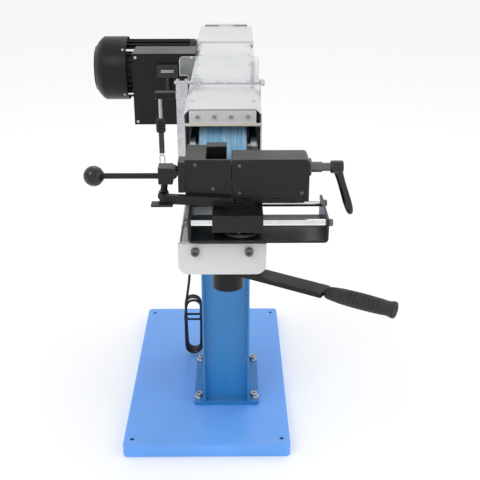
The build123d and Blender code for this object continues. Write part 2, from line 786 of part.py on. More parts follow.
switch_x = cabinet_left + cabinet_width * 0.56
switch_z = cabinet_top - 46
with BuildPart() as cabinet_lid:
    slab(cabinet_left, cabinet_right, cabinet_front, cabinet_front + cabinet_sheet, cabinet_bottom,
         cabinet_top)
    for x in (cabinet_left + 10, cabinet_right - 10):
        for z in (cabinet_bottom + 10, cabinet_top - 10):
            rod_y(cabinet_front - 1, cabinet_front + cabinet_sheet + 1, x, z, 2.5, Mode.SUBTRACT)
cabinet_lid.part.label = "cabinet_lid"
export_step(cabinet_lid.part, "parts/cabinet_lid.step")

switch_face = cabinet_front - switch_depth
switch_axis_y = switch_face + paddle_inset
pin_reach = paddle_width / 2 + running + paddle_pin_length
conduit_y = cabinet_front - conduit_diameter / 2 - conduit_ring - 0.5
conduit_top = switch_z - switch_height / 2
with BuildPart() as switch_box:
    # housing with the paddle's recess, two round studs, and the ringed conduit that leaves it below
    slab(switch_x - switch_width / 2, switch_x + switch_width / 2, switch_face, cabinet_front,
         conduit_top, switch_z + switch_height / 2)
    slab(switch_x - paddle_width / 2 - running, switch_x + paddle_width / 2 + running, switch_face - 1,
         switch_face + switch_recess, switch_z - paddle_height / 2 - 3, switch_z + paddle_height / 2 + 3,
         Mode.SUBTRACT)
    rod_x(switch_x - pin_reach, switch_x + pin_reach, switch_axis_y, switch_z, paddle_pin / 2 + fit, Mode.SUBTRACT)
    for side in (-1, 1):
        rod_y(switch_face - 2, switch_face + 1, switch_x + side * (switch_width / 2 - 5), switch_z, 2.6)
    rod_z(conduit_top - conduit_length, conduit_top + 1, switch_x, conduit_y, conduit_diameter / 2)
    for drop in (conduit_length - 12, conduit_length - 4):
        rod_z(conduit_top - drop - 4, conduit_top - drop, switch_x, conduit_y,
              conduit_diameter / 2 + conduit_ring)
    slab(switch_x - 3, switch_x + 3, conduit_y, cabinet_front, conduit_top - 30, conduit_top - 20)
switch_box.part.label = "switch_box"
export_step(switch_box.part, "parts/switch_box.step")

with BuildPart() as switch_paddle:
    # rocker with a pivot pin moulded on each side
    slab(switch_x - paddle_width / 2, switch_x + paddle_width / 2, switch_face - 4, switch_axis_y + paddle_pin / 2,
         switch_z - paddle_height / 2, switch_z + paddle_height / 2)
    fillet(switch_paddle.edges().filter_by(Axis.X).group_by(Axis.Y)[0], radius=2)
    rod_x(switch_x - pin_reach + running, switch_x + pin_reach - running, switch_axis_y, switch_z, paddle_pin / 2)
switch_paddle.part.label = "switch_paddle"
export_step(switch_paddle.part, "parts/switch_paddle.step")

with BuildPart() as cord_gland:
    rod_z(cabinet_bottom - 10, cabinet_bottom, cord_x, cord_y, gland_diameter / 2)
    with Locations((cord_x, cord_y, cabinet_bottom - gland_length)):
        Cone(cord_diameter / 2 + 1.5, gland_diameter / 2 - 2, gland_length - 10,
             align=(Align.CENTER, Align.CENTER, Align.MIN))
    rod_z(cabinet_bottom - gland_length - 1, cabinet_bottom + 1, cord_x, cord_y, cord_diameter / 2,
          Mode.SUBTRACT)
    with BuildSketch(Plane.XY.offset(cabinet_bottom - 4)):
        with Locations((cord_x, cord_y)):
            RegularPolygon(gland_diameter / 2 + 2, 6)
            Circle(cord_diameter / 2, mode=Mode.SUBTRACT)
    extrude(amount=-5)
cord_gland.part.label = "cord_gland"
export_step(cord_gland.part, "parts/cord_gland.step")

# ---------------------------------------------------------------- mains cord and its hanging hank
hank_x = left_wall - hank_out
hank_y = cord_y - hank_forward
cord_route = [
    (cord_x, cord_y, cabinet_bottom - gland_length),
    (cord_x, cord_y - 1, 640),
    (cord_x + 2, cord_y - 6, 520),
    (cord_x + 1, cord_y - 14, 400),
    (cord_x + 4, cord_y - 21, 310),
    (cord_x + 6, hank_y, hank_top + seat),
]


def bend_radii(route):
    """One radius for each corner: 0.45 of the shorter run over the tangent of half the turn."""
    radii = []
    for before, corner, after in zip(route, route[1:], route[2:]):
        first = Vector(*corner) - Vector(*before)
        second = Vector(*after) - Vector(*corner)
        half_turn = radians(first.get_angle(second)) / 2
        radii.append(0.45 * min(first.length, second.length) / tan(half_turn))
    return radii


with BuildPart() as mains_cord:
    with BuildLine() as cord_line:
        FilletPolyline(*cord_route, radius=bend_radii(cord_route))
    with BuildSketch(Plane(origin=cord_line.line @ 0, z_dir=cord_line.line % 0)):
        Circle(cord_diameter / 2)
    sweep()
mains_cord.part.label = "mains_cord"
export_step(mains_cord.part, "parts/mains_cord.step")
cord_section = pi * cord_diameter ** 2 / 4
print("cord radii", [round(radius) for radius in bend_radii(cord_route)])
cord_run = sum(edge.length for edge in cord_line.edges())
filled = mains_cord.part.volume / (cord_section * cord_run)
print("cord length", round(cord_run), "volume ratio", round(filled, 4))

with BuildPart() as cord_hank:
    with BuildSketch(Plane.XY.offset(hank_bottom)):
        with Locations((hank_x, hank_y)):
            RectangleRounded(hank_width, hank_depth, 12)
    extrude(amount=hank_top - hank_bottom)
    fillet(cord_hank.edges().filter_by(GeomType.LINE).filter_by(Axis.X), radius=14)
cord_hank.part.label = "cord_hank"
export_step(cord_hank.part, "parts/cord_hank.step")

# ---------------------------------------------------------------- guard post, hanging strap and eye shield
post_left = left_wall - post_width
hanger_left = post_left - hanger_reach
strap_x = hanger_left + 11
axis_y = post_y
with BuildPart() as guard_post:
    slab(post_left, left_wall, post_y - post_depth / 2, post_y + post_depth / 2, post_bottom, post_top)
    slab(post_left + post_sheet, left_wall - post_sheet, post_y - post_depth / 2 + post_sheet,
         post_y + post_depth / 2 - post_sheet, post_bottom - 1, post_top + 1, Mode.SUBTRACT)
    slab(post_left + 7, left_wall - 7, post_y, post_y + post_depth, post_bottom - 1, post_top + 1,
         Mode.SUBTRACT)
    # side bracket that the strap hangs from
    slab(hanger_left, post_left, post_y - 12, post_y + 12, hanger_z + hanger_height - 4,
         hanger_z + hanger_height)
    slab(hanger_left, post_left, post_y - 12, post_y - 9, hanger_z, hanger_z + hanger_height)
    rod_x(post_left - 1, left_wall + 1, axis_y, shield_axis_z, shield_rod / 2 + fit, Mode.SUBTRACT)
guard_post.part.label = "guard_post"
export_step(guard_post.part, "parts/guard_post.step")

strap_top = hanger_z + hanger_height - 4
grip_top = strap_top - 58
grip_low = grip_top - 34
strap_low = grip_low - 50
ring_centre = strap_low - 19
with BuildPart() as hanging_strap:
    rod_z(grip_top - 1, strap_top, strap_x, axis_y, 4)
    slab(strap_x - 11, strap_x + 10, axis_y - 7, axis_y + 7, grip_low, grip_top)
    fillet(hanging_strap.edges().filter_by(Axis.Y), radius=5)
    slab(strap_x - strap_width / 2, strap_x + strap_width / 2, axis_y - strap_sheet / 2, axis_y + strap_sheet / 2,
         strap_low, grip_low + 1)
    rod_y(axis_y - strap_sheet, axis_y + strap_sheet, strap_x, strap_low + 6, 2, Mode.SUBTRACT)
    # swivel hook and oval ring, each linked through the one above
    with BuildSketch(Plane.XZ.offset(-axis_y - 1)):
        with Locations((strap_x, strap_low + 1)):
            SlotCenterToCenter(9, 8, rotation=90)
            SlotCenterToCenter(9, 4.4, rotation=90, mode=Mode.SUBTRACT)
    extrude(amount=2)
    with BuildSketch(Plane.XZ.offset(-axis_y - 1.2)):
        with Locations((strap_x, ring_centre)):
            SlotCenterToCenter(18, 14, rotation=90)
            SlotCenterToCenter(18, 9, rotation=90, mode=Mode.SUBTRACT)
    extrude(amount=2.4)
hanging_strap.part.label = "hanging_strap"
export_step(hanging_strap.part, "parts/hanging_strap.step")

shield_left = body_x - 100
shield_right = shield_left + shield_width
pane_front = axis_y + shield_rod / 2 + 0.2
pane_low = shield_axis_z - 6
pane_top = shield_axis_z + shield_height
clear_radius = hypot(post_depth / 2, post_top - shield_axis_z) + 1
with BuildPart() as shield_hinge:
    # rod through the post and the right bracket, two clamps for the pane, knob outside
    rod_x(post_left - 4, right_wall + bracket_sheet + 4, axis_y, shield_axis_z, shield_rod / 2)
    rod_x(right_wall + bracket_sheet + running, right_wall + bracket_sheet + 9, axis_y, shield_axis_z, 8)
    slab(body_x - 70, body_x - 70 + clamp_width, axis_y - 8, pane_front, shield_axis_z - 8,
         shield_axis_z - 8 + clamp_height)
    slab(body_x + 62, body_x + 70, axis_y - 6, pane_front, shield_axis_z - 6, pane_top - 10)
shield_hinge.part.label = "shield_hinge"
export_step(shield_hinge.part, "parts/shield_hinge.step")

with BuildPart() as shield_pane:
    with BuildSketch(Plane.XZ.offset(-pane_front)):
        with BuildLine():
            Polyline(
                (left_wall + 1, pane_low), (shield_right, pane_low), (shield_right, pane_top),
                (shield_left, pane_top), (shield_left, shield_axis_z + clear_radius),
                (left_wall + 1, shield_axis_z + clear_radius), close=True)
        make_face()
    extrude(amount=-shield_sheet)
    fillet(shield_pane.edges().filter_by(Axis.Y).group_by(Axis.Z)[-1], radius=shield_corner)
    slab(shield_right - shield_sheet, shield_right, pane_front, pane_front + 14, pane_low,
         pane_top - shield_corner)
shield_pane.part.label = "shield_pane"
export_step(shield_pane.part, "parts/shield_pane.step")

with BuildPart() as shield_bracket:
    slab(right_wall, right_wall + bracket_sheet, axis_y - bracket_width / 2, axis_y + bracket_width / 2,
         shield_axis_z - 90, shield_axis_z + bracket_width / 2)
    rod_x(right_wall - 1, right_wall + bracket_sheet + 1, axis_y, shield_axis_z, shield_rod / 2 + fit,
          Mode.SUBTRACT)
shield_bracket.part.label = "shield_bracket"
export_step(shield_bracket.part, "parts/shield_bracket.step")

# ---------------------------------------------------------------- feed slide, rack and lever
rail_top = rail_z + rail
slide_front = head_y + channel_head + 2
slide_rear = slide_front + slide_length
rail_end = slide_rear + feed_travel + 12
inner_half = body_width / 2 - body_sheet
pitch = 2 * pi * pinion_radius / pinion_teeth
pinion_low = floor_top + 1
pinion_high = pinion_low + pinion_width
tooth_root = 5.2
tooth_tip = 2.4
with BuildPart() as feed_rails:
    for x in (left_wall + body_sheet, right_wall - body_sheet - rail):
        slab(x, x + rail, head_y + channel_head, rail_end, rail_z, rail_top)
feed_rails.part.label = "feed_rails"
export_step(feed_rails.part, "parts/feed_rails.step")

with BuildPart() as feed_carriage:
    # upper and lower decks joined by a web between the rails, and a neck up to the tray
    upper = inner_half - running
    web = inner_half - rail - running
    slab(body_x - upper, body_x + upper, slide_front, slide_rear, rail_top + running, channel_top - 4)
    slab(body_x - web, body_x + web, slide_front, slide_rear, rail_z - 12, channel_top - 4)
    slab(body_x - upper, body_x + upper, slide_front, slide_rear, rail_z - 12, rail_z - running)
    slab(body_x - slide_neck / 2, body_x + slide_neck / 2, slide_front, slide_rear, channel_top - 5, tray_z)
    # toothed rack along the right of the pinion
    rack_x = hub_x + pinion_radius + 3
    slab(rack_x, rack_x + 11, slide_front, slide_rear, pinion_low, rail_z - 11)
    first = int((slide_front - hub_y) / pitch) + 1
    last = int((slide_rear - hub_y) / pitch) - 1
    for number in range(first, last + 1):
        tooth_y = hub_y + pitch * (number + 0.5)
        with BuildSketch(Plane.XY.offset(pinion_low)):
            with BuildLine():
                Polyline(
                    (rack_x + 0.5, tooth_y - tooth_root / 2), (rack_x + 0.5, tooth_y + tooth_root / 2),
                    (rack_x - tooth_height, tooth_y + tooth_tip / 2), (rack_x - tooth_height, tooth_y - tooth_tip / 2),
                    close=True)
            make_face()
        extrude(amount=pinion_width)
feed_carriage.part.label = "feed_carriage"
export_step(feed_carriage.part, "parts/feed_carriage.step")

plate_low = body_bottom - feed_plate_thickness
boss_low = plate_low - boss_height
hub_high = boss_low - running
hub_low = hub_high - hub_height
with BuildPart() as feed_bearing:
    slab(hub_x - feed_plate_width / 2, hub_x + feed_plate_width / 2, hub_y - 50, hub_y + 50, plate_low,
         body_bottom)
    fillet(feed_bearing.edges().filter_by(Axis.Z), radius=8)
    rod_z(boss_low, plate_low, hub_x, hub_y, hub_diameter / 2)
    rod_z(boss_low - 1, body_bottom + 1, hub_x, hub_y, feed_shaft / 2 + fit, Mode.SUBTRACT)
feed_bearing.part.label = "feed_bearing"
export_step(feed_bearing.part, "parts/feed_bearing.step")

with BuildPart() as feed_pinion:
    rod_z(hub_low, pinion_high, hub_x, hub_y, feed_shaft / 2)
    rod_z(pinion_low, pinion_high, hub_x, hub_y, pinion_radius - 3)
    with BuildSketch(Plane.XY.offset(pinion_low)):
        with Locations((hub_x, hub_y)):
            with PolarLocations(pinion_radius - 3.5, pinion_teeth):
                with Locations((0, 0)):
                    Polygon((0, -tooth_root / 2), (tooth_height + 0.5, -tooth_tip / 2),
                            (tooth_height + 0.5, tooth_tip / 2), (0, tooth_root / 2), align=None)
    extrude(amount=pinion_width)
feed_pinion.part.label = "feed_pinion"
export_step(feed_pinion.part, "parts/feed_pinion.step")

bar_end = lever_length - grip_length - 4
bar_z = hub_high - 8
with BuildPart() as feed_lever:
    rod_z(hub_low, hub_high, hub_x, hub_y, hub_diameter / 2)
    with Locations(Location((hub_x, hub_y, bar_z), (0, 0, lever_angle))):
        with Locations((bar_end / 2, 0, 0)):
            Box(bar_end, lever_width, lever_thickness)
        with Locations(Location((bar_end, 0, 0), (0, 90, 0))):
            Cylinder(8, grip_length, align=(Align.CENTER, Align.CENTER, Align.MIN))
    rod_z(hub_low - 1, hub_high + 1, hub_x, hub_y, feed_shaft / 2, Mode.SUBTRACT)
feed_lever.part.label = "feed_lever"
export_step(feed_lever.part, "parts/feed_lever.step")

with BuildPart() as feed_grip:
    with Locations(Location((hub_x, hub_y, bar_z), (0, 0, lever_angle))):
        with Locations(Location((bar_end + 2, 0, 0), (0, 90, 0))):
            Cylinder(grip_diameter / 2, grip_length, align=(Align.CENTER, Align.CENTER, Align.MIN))
            with Locations((0, 0, -1)):
                Cylinder(8, grip_length, align=(Align.CENTER, Align.CENTER, Align.MIN), mode=Mode.SUBTRACT)
    fillet(feed_grip.edges().filter_by(GeomType.CIRCLE).sort_by(Axis.X)[-1], radius=grip_diameter / 4)
feed_grip.part.label = "feed_grip"
export_step(feed_grip.part, "parts/feed_grip.step")

# ---------------------------------------------------------------- tray, rods and cross carriage
tray_x0 = body_x + tray_left
tray_x1 = tray_x0 + tray_width
tray_y0 = roller_y - tray_front
tray_y1 = tray_y0 + tray_depth
rod_places = (tray_y0 + rod_inset, tray_y1 - rod_inset)
with BuildPart() as slide_tray:
    with BuildSketch(Plane.XZ.offset(-tray_y1)) as tray_section:
        with Locations(((tray_x0 + tray_x1) / 2, tray_z + tray_height / 2)):
            Rectangle(tray_width, tray_height)
        fillet(tray_section.vertices().group_by(Axis.Y)[0], radius=tray_corner)
        with Locations(((tray_x0 + tray_x1) / 2, tray_z + tray_height / 2 + tray_sheet)):
            Rectangle(tray_width - 2 * tray_sheet, tray_height, mode=Mode.SUBTRACT)
    extrude(amount=tray_depth)
    for y in rod_places:
        rod_x(tray_x0 - 1, tray_x1 + 1, y, guide_z, 4, Mode.SUBTRACT)
slide_tray.part.label = "slide_tray"
export_step(slide_tray.part, "parts/slide_tray.step")

with BuildPart() as guide_rods:
    for y in rod_places:
        rod_x(tray_x0 + tray_sheet, tray_x1 - tray_sheet, y, guide_z, rod_diameter / 2)
        # a screw into each end, its head outside the tray
        for face, outward in ((tray_x0, -1), (tray_x1, 1)):
            inner = face - outward * tray_sheet
            rod_x(min(face, inner), max(face, inner), y, guide_z, 4 - seat)
            tip = face + outward * 8
            rod_x(min(face, tip), max(face, tip), y, guide_z, 6.5)
guide_rods.part.label = "guide_rods"
export_step(guide_rods.part, "parts/guide_rods.step")

block_x0 = body_x + block_left
block_x1 = block_x0 + block_width
lock_y = roller_y - lock_lead
lock_centre = body_x + lock_x
bush_radius = rod_diameter / 2 + bush_wall
with BuildPart() as cross_carriage:
    slab(block_x0, block_x1, tray_y0 + 1, tray_y1 - 1, block_bottom, block_top)
    for y in rod_places:
        rod_x(block_x0 - 1, block_x1 + 1, y, guide_z, rod_diameter / 2 + 1, Mode.SUBTRACT)
        for x in (block_x0, block_x1 - bush_length):
            rod_x(x - 1, x + bush_length + 1, y, guide_z, bush_radius, Mode.SUBTRACT)
    rod_z(block_top - 26, block_top + 1, swivel_x, swivel_y, pivot_pin / 2 + fit, Mode.SUBTRACT)
    rod_z(block_bottom - 1, block_bottom + 16, lock_centre, lock_y, 5 + fit, Mode.SUBTRACT)
cross_carriage.part.label = "cross_carriage"
export_step(cross_carriage.part, "parts/cross_carriage.step")

with BuildPart() as carriage_bushes:
    for y in rod_places:
        for x in (block_x0, block_x1 - bush_length):
            rod_x(x, x + bush_length, y, guide_z, bush_radius)
            rod_x(x - 1, x + bush_length + 1, y, guide_z, rod_diameter / 2 + fit, Mode.SUBTRACT)
carriage_bushes.part.label = "carriage_bushes"
export_step(carriage_bushes.part, "parts/carriage_bushes.step")

wheel_low = tray_z + tray_sheet + 2
with BuildPart() as lock_wheel_part:
    rod_z(wheel_low, wheel_low + 7, lock_centre, lock_y, lock_wheel / 2)
    rod_z(wheel_low + 6, block_bottom + 15, lock_centre, lock_y, 5)
    rod_z(wheel_low + 6, wheel_low + 12, lock_centre - 4, lock_y - lock_wheel / 2 + 7, 4)
lock_wheel_part.part.label = "lock_wheel"
export_step(lock_wheel_part.part, "parts/lock_wheel.step")

# ---------------------------------------------------------------- swivelling pipe vice
left_x0 = body_x + jaw_left
split_x = body_x + jaw_split
housing_x0 = split_x + 0.5
housing_x1 = housing_x0 + housing_width
arm_y1 = jaw_y0 - running
arm_y0 = arm_y1 - arm_thickness
pivot_x = body_x + crank_x
arm_left = pivot_x - 5
arm_right = split_x + 2
slide_bottom = jaw_bottom + running
with BuildPart() as vice_base:
    # turntable with its pin, bed plate, and the sloping arm that carries the clamp pivot
    rod_z(block_top + running, bed_bottom, swivel_x, swivel_y, turntable_diameter / 2)
    rod_z(block_top - 25, block_top + running, swivel_x, swivel_y, pivot_pin / 2)
    slab(left_x0, housing_x1, jaw_y0, jaw_y1, bed_bottom, jaw_bottom)
    slab(body_x, arm_right, arm_y0, jaw_y0, bed_bottom, jaw_bottom)
    with BuildSketch(Plane.XZ.offset(-arm_y1)):
        with BuildLine():
            low = crank_z - arm_height / 2
            high = crank_z + arm_height / 2
            Polyline((arm_left, low), (arm_right, low - arm_fall), (arm_right, high - arm_fall), (arm_left, high),
                     close=True)
        make_face()
    extrude(amount=arm_thickness)
    slab(arm_left - 16, arm_left + 25, arm_y0 - 10, arm_y1, low - 3, low + 1)
    rod_y(arm_y0 - 3, jaw_y0 + 34, pivot_x, crank_z, 5)
vice_base.part.label = "vice_base"
export_step(vice_base.part, "parts/vice_base.step")

vee_y1 = jaw_y0 + left_depth - 6
vee_y0 = vee_y1 - vee_plate
lip_x = body_x + vee_lip
crank_y = jaw_y0 + 14
with BuildPart() as left_jaw:
    slab(left_x0, left_x0 + jaw_body, jaw_y0, jaw_y1, slide_bottom, jaw_top)
    slab(left_x0, split_x - 0.3, jaw_y0, jaw_y0 + face_plate, slide_bottom, jaw_top)
    slab(left_x0 + jaw_body, lip_x, vee_y0, vee_y1, slide_bottom, jaw_top + vee_rise)
    with BuildSketch(Plane.XZ.offset(-vee_y1)):
        with BuildLine():
            Polyline((lip_x + 1, roller_z - vee_left - 1), (lip_x - vee_left, roller_z),
                     (lip_x + 1, roller_z + vee_left + 1), close=True)
        make_face()
    extrude(amount=vee_plate, mode=Mode.SUBTRACT)
    # pad on the left that the clamp nose presses on, and two small screws in the face
    slab(left_x0 - side_block, left_x0, crank_y - 20, crank_y + 20, slide_bottom + 14, jaw_top - 3)
    for x, z in ((left_x0 + 19, jaw_top - 10), (left_x0 + 52, jaw_bottom + 20)):
        rod_y(jaw_y0 - 1, jaw_y0 + 2, x, z, 4, Mode.SUBTRACT)
left_jaw.part.label = "left_jaw"
export_step(left_jaw.part, "parts/left_jaw.step")

nose_x = left_x0 - side_block - 0.3 - nose_radius
nose_z = crank_z + crank_arm
ball_x = pivot_x - ball_reach
rod_tip = ball_x + ball_diameter / 4
tube_lean = degrees(atan2(nose_x - hub_block / 2 - pivot_x, crank_arm))
with BuildPart() as clamp_crank:
    # eye round the pivot, leaning tube, hub block, round nose and the lever rod
    rod_y(crank_y - 8, crank_y + 10, pivot_x, crank_z, 10)
    with Locations(Location((pivot_x, crank_y, crank_z), (0, tube_lean, 0))):
        Cylinder(crank_tube / 2, crank_arm, align=(Align.CENTER, Align.CENTER, Align.MIN))
    slab(nose_x - hub_block, nose_x, crank_y - 16, crank_y + 16, nose_z - 20, nose_z + 12)
    rod_y(crank_y - 15, crank_y + 15, nose_x, nose_z, nose_radius)
    rod_x(rod_tip, nose_x - hub_block + 1, crank_y, crank_z + lever_rise, lever_rod / 2)
    rod_y(crank_y - 30, crank_y + 30, pivot_x, crank_z, 5 + fit, Mode.SUBTRACT)
clamp_crank.part.label = "clamp_crank"
export_step(clamp_crank.part, "parts/clamp_crank.step")

with BuildPart() as lever_ball:
    with Locations((ball_x, crank_y, crank_z + lever_rise)):
        Sphere(ball_diameter / 2)
    rod_x(rod_tip, pivot_x, crank_y, crank_z + lever_rise, lever_rod / 2, Mode.SUBTRACT)
lever_ball.part.label = "lever_ball"
export_step(lever_ball.part, "parts/lever_ball.step")

housing_y1 = jaw_y0 + right_depth
spindle_y = jaw_y0 + right_depth / 2
cap_inner = housing_x1 - 10
with BuildPart() as jaw_housing:
    slab(housing_x0, housing_x1, jaw_y0, housing_y1, jaw_bottom, jaw_top)
    fillet(jaw_housing.edges().filter_by(Axis.Y).group_by(Axis.Z)[-1].sort_by(Axis.X)[-1], radius=housing_corner)
    slab(housing_x0 - 1, cap_inner, jaw_y0 + housing_wall, housing_y1 - housing_wall, jaw_bottom + housing_wall,
         jaw_top - housing_wall, Mode.SUBTRACT)
    rod_x(cap_inner - 1, housing_x1 + 1, spindle_y, spindle_z, spindle / 2 + fit, Mode.SUBTRACT)
    # the rear wall is cut to the same vee as the insert, so the tube can run on towards the belt
    with BuildSketch(Plane.XZ.offset(-housing_y1 - 1)):
        with BuildLine():
            Polyline((housing_x0 - 1, roller_z - vee_right - 1), (housing_x0 + vee_right, roller_z),
                     (housing_x0 - 1, roller_z + vee_right + 1), close=True)
        make_face()
    extrude(amount=housing_wall + 2, mode=Mode.SUBTRACT)
jaw_housing.part.label = "jaw_housing"
export_step(jaw_housing.part, "parts/jaw_housing.step")

insert_x1 = housing_x0 + insert_length
with BuildPart() as jaw_insert:
    slab(housing_x0 + running, insert_x1, jaw_y0 + housing_wall + running, housing_y1 - housing_wall - running,
         jaw_bottom + housing_wall + running, jaw_top - housing_wall - running)
    with BuildSketch(Plane.XZ.offset(-housing_y1)):
        with BuildLine():
            Polyline((housing_x0 - 1, roller_z - vee_right - 1), (housing_x0 + vee_right, roller_z),
                     (housing_x0 - 1, roller_z + vee_right + 1), close=True)
        make_face()
    extrude(amount=right_depth, mode=Mode.SUBTRACT)
    rod_x(insert_x1 - 8, insert_x1 + 1, spindle_y, spindle_z, spindle / 2 + fit, Mode.SUBTRACT)
jaw_insert.part.label = "jaw_insert"
export_step(jaw_insert.part, "parts/jaw_insert.step")

neck_end = housing_x1 + spindle_neck
hub_start = neck_end + spindle_tail
with BuildPart() as spindle_bar:
    rod_x(insert_x1 - 8 + running, neck_end, spindle_y, spindle_z, spindle / 2)
    rod_x(neck_end, hub_start + handle_hub - 3, spindle_y, spindle_z, 8)
spindle_bar.part.label = "spindle"
export_step(spindle_bar.part, "parts/spindle.step")

with BuildPart() as spindle_handle:
    rod_x(hub_start, hub_start + handle_hub, spindle_y, spindle_z, handle_hub / 2)
    with Locations(Location((hub_start + handle_hub / 2, spindle_y, spindle_z), (0, 180 - handle_cone, 0))):
        Cone(8, 6.5, handle_length, align=(Align.CENTER, Align.CENTER, Align.MIN))
        with Locations((0, 0, handle_length)):
            Sphere(6.5)
    rod_x(hub_start - 1, hub_start + handle_hub - 3, spindle_y, spindle_z, 8, Mode.SUBTRACT)
spindle_handle.part.label = "spindle_handle"
export_step(spindle_handle.part, "parts/spindle_handle.step")
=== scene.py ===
import json
from math import cos, pi, radians, sin

import bmesh
import bpy
from bpy.props import FloatProperty, FloatVectorProperty, IntProperty, PointerProperty
from mathutils import Matrix, Vector


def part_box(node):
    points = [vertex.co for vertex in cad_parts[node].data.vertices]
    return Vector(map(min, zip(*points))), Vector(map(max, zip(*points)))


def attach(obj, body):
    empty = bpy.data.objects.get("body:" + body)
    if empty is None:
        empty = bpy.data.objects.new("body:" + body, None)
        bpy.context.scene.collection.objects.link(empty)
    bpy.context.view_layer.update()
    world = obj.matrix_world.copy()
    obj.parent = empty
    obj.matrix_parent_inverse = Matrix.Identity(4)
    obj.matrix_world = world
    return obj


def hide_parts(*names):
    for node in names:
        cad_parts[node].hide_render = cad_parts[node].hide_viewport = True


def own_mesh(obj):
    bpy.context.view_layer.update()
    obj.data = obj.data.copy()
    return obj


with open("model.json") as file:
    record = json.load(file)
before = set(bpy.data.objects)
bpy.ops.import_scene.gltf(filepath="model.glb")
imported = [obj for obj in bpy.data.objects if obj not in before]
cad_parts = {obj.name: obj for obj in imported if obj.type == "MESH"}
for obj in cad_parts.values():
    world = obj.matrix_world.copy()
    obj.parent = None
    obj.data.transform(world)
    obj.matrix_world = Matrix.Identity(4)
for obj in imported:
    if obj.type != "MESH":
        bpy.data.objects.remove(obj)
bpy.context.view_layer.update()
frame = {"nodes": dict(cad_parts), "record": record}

bl_info = {
    "name": "Belt tube notcher",
    "version": (1, 0, 0),
    "blender": (4, 5, 0),
    "location": "View3D > Sidebar > Notcher",
    "description": "Finishes the belt tube notcher piece by piece over its fixed frame",
    "category": "Object",
}

BODY_OF = {node: body for body, nodes in frame["record"]["behaviour"]["bodies"].items() for node in nodes}


# ---------------------------------------------------------------- sizes and colours
class NotcherSizes(bpy.types.PropertyGroup):
    edge_round: FloatProperty(name="Edge round", description="Round on sheet-metal edges", default=0.0008,
                              unit="LENGTH")
    casting_round: FloatProperty(name="Casting round", description="Round on cast and milled edges",
                                 default=0.0016, unit="LENGTH")
    cord_diameter: FloatProperty(name="Cord diameter", description="Outer diameter of the mains cord",
                                 default=0.008, unit="LENGTH")
    hank_turns: IntProperty(name="Hank turns", description="Turns of cord folded into the hank", default=4)
    spring_turns: IntProperty(name="Spring turns", description="Turns of the tension spring", default=15)
    grip_ribs: IntProperty(name="Grip ribs", description="Rings moulded into the lever grip", default=9)
    weld_bead: FloatProperty(name="Weld bead", description="Width of a weld bead", default=0.006,
                             unit="LENGTH")


class NotcherColours(bpy.types.PropertyGroup):
    deck: FloatVectorProperty(name="Deck blue", description="Paint of the base", subtype="COLOR",
                              default=(0.125, 0.365, 0.88))
    column: FloatVectorProperty(name="Column blue", description="Paint of the column", subtype="COLOR",
                                default=(0.024, 0.20, 0.49))
    shell: FloatVectorProperty(name="Shell white", description="Paint of the body shell", subtype="COLOR",
                               default=(0.63, 0.64, 0.65))
    plate: FloatVectorProperty(name="Plate grey", description="Paint of the front plate", subtype="COLOR",
                               default=(0.60, 0.61, 0.62))
    black: FloatVectorProperty(name="Black paint", description="Paint of the motor, cabinet and vice",
                               subtype="COLOR", default=(0.0065, 0.0067, 0.0072))
    belt: FloatVectorProperty(name="Belt blue", description="Abrasive belt", subtype="COLOR",
                              default=(0.17, 0.42, 0.66))
    lip: FloatVectorProperty(name="Lip beige", description="Lip under the hood strip", subtype="COLOR",
                             default=(0.62, 0.58, 0.48))


# ---------------------------------------------------------------- shader node groups
def group_shell(name, inputs, outputs):
    """An empty node group with float or vector inputs and outputs."""
    tree = bpy.data.node_groups.new(name, "ShaderNodeTree")
    for label, kind, value in inputs:
        socket = tree.interface.new_socket(name=label, in_out="INPUT", socket_type=kind)
        if value is not None:
            socket.default_value = value
    for label, kind in outputs:
        tree.interface.new_socket(name=label, in_out="OUTPUT", socket_type=kind)
    return tree, tree.nodes.new("NodeGroupInput"), tree.nodes.new("NodeGroupOutput")


def noise_node(tree, vector, scale, detail=3.0, rough=0.55):
    node = tree.nodes.new("ShaderNodeTexNoise")
    node.inputs["Detail"].default_value = detail
    node.inputs["Roughness"].default_value = rough
    tree.links.new(vector, node.inputs["Vector"])
    if isinstance(scale, float):
        node.inputs["Scale"].default_value = scale
    else:
        tree.links.new(scale, node.inputs["Scale"])
    return node.outputs["Fac"]


def span(tree, value, low, high, to_low=0.0, to_high=1.0):
    """Map Range from low..high to to_low..to_high, clamped."""
    node = tree.nodes.new("ShaderNodeMapRange")
    node.inputs["From Min"].default_value = low
    node.inputs["From Max"].default_value = high
    node.inputs["To Min"].default_value = to_low
    node.inputs["To Max"].default_value = to_high
    tree.links.new(value, node.inputs["Value"])
    return node.outputs["Result"]


def maths(tree, kind, first, second=None):
    node = tree.nodes.new("ShaderNodeMath")
    node.operation = kind
    for socket, value in zip(node.inputs, (first, second)):
        if value is None:
            continue
        if isinstance(value, (int, float)):
            socket.default_value = value
        else:
            tree.links.new(value, socket)
    return node.outputs["Value"]


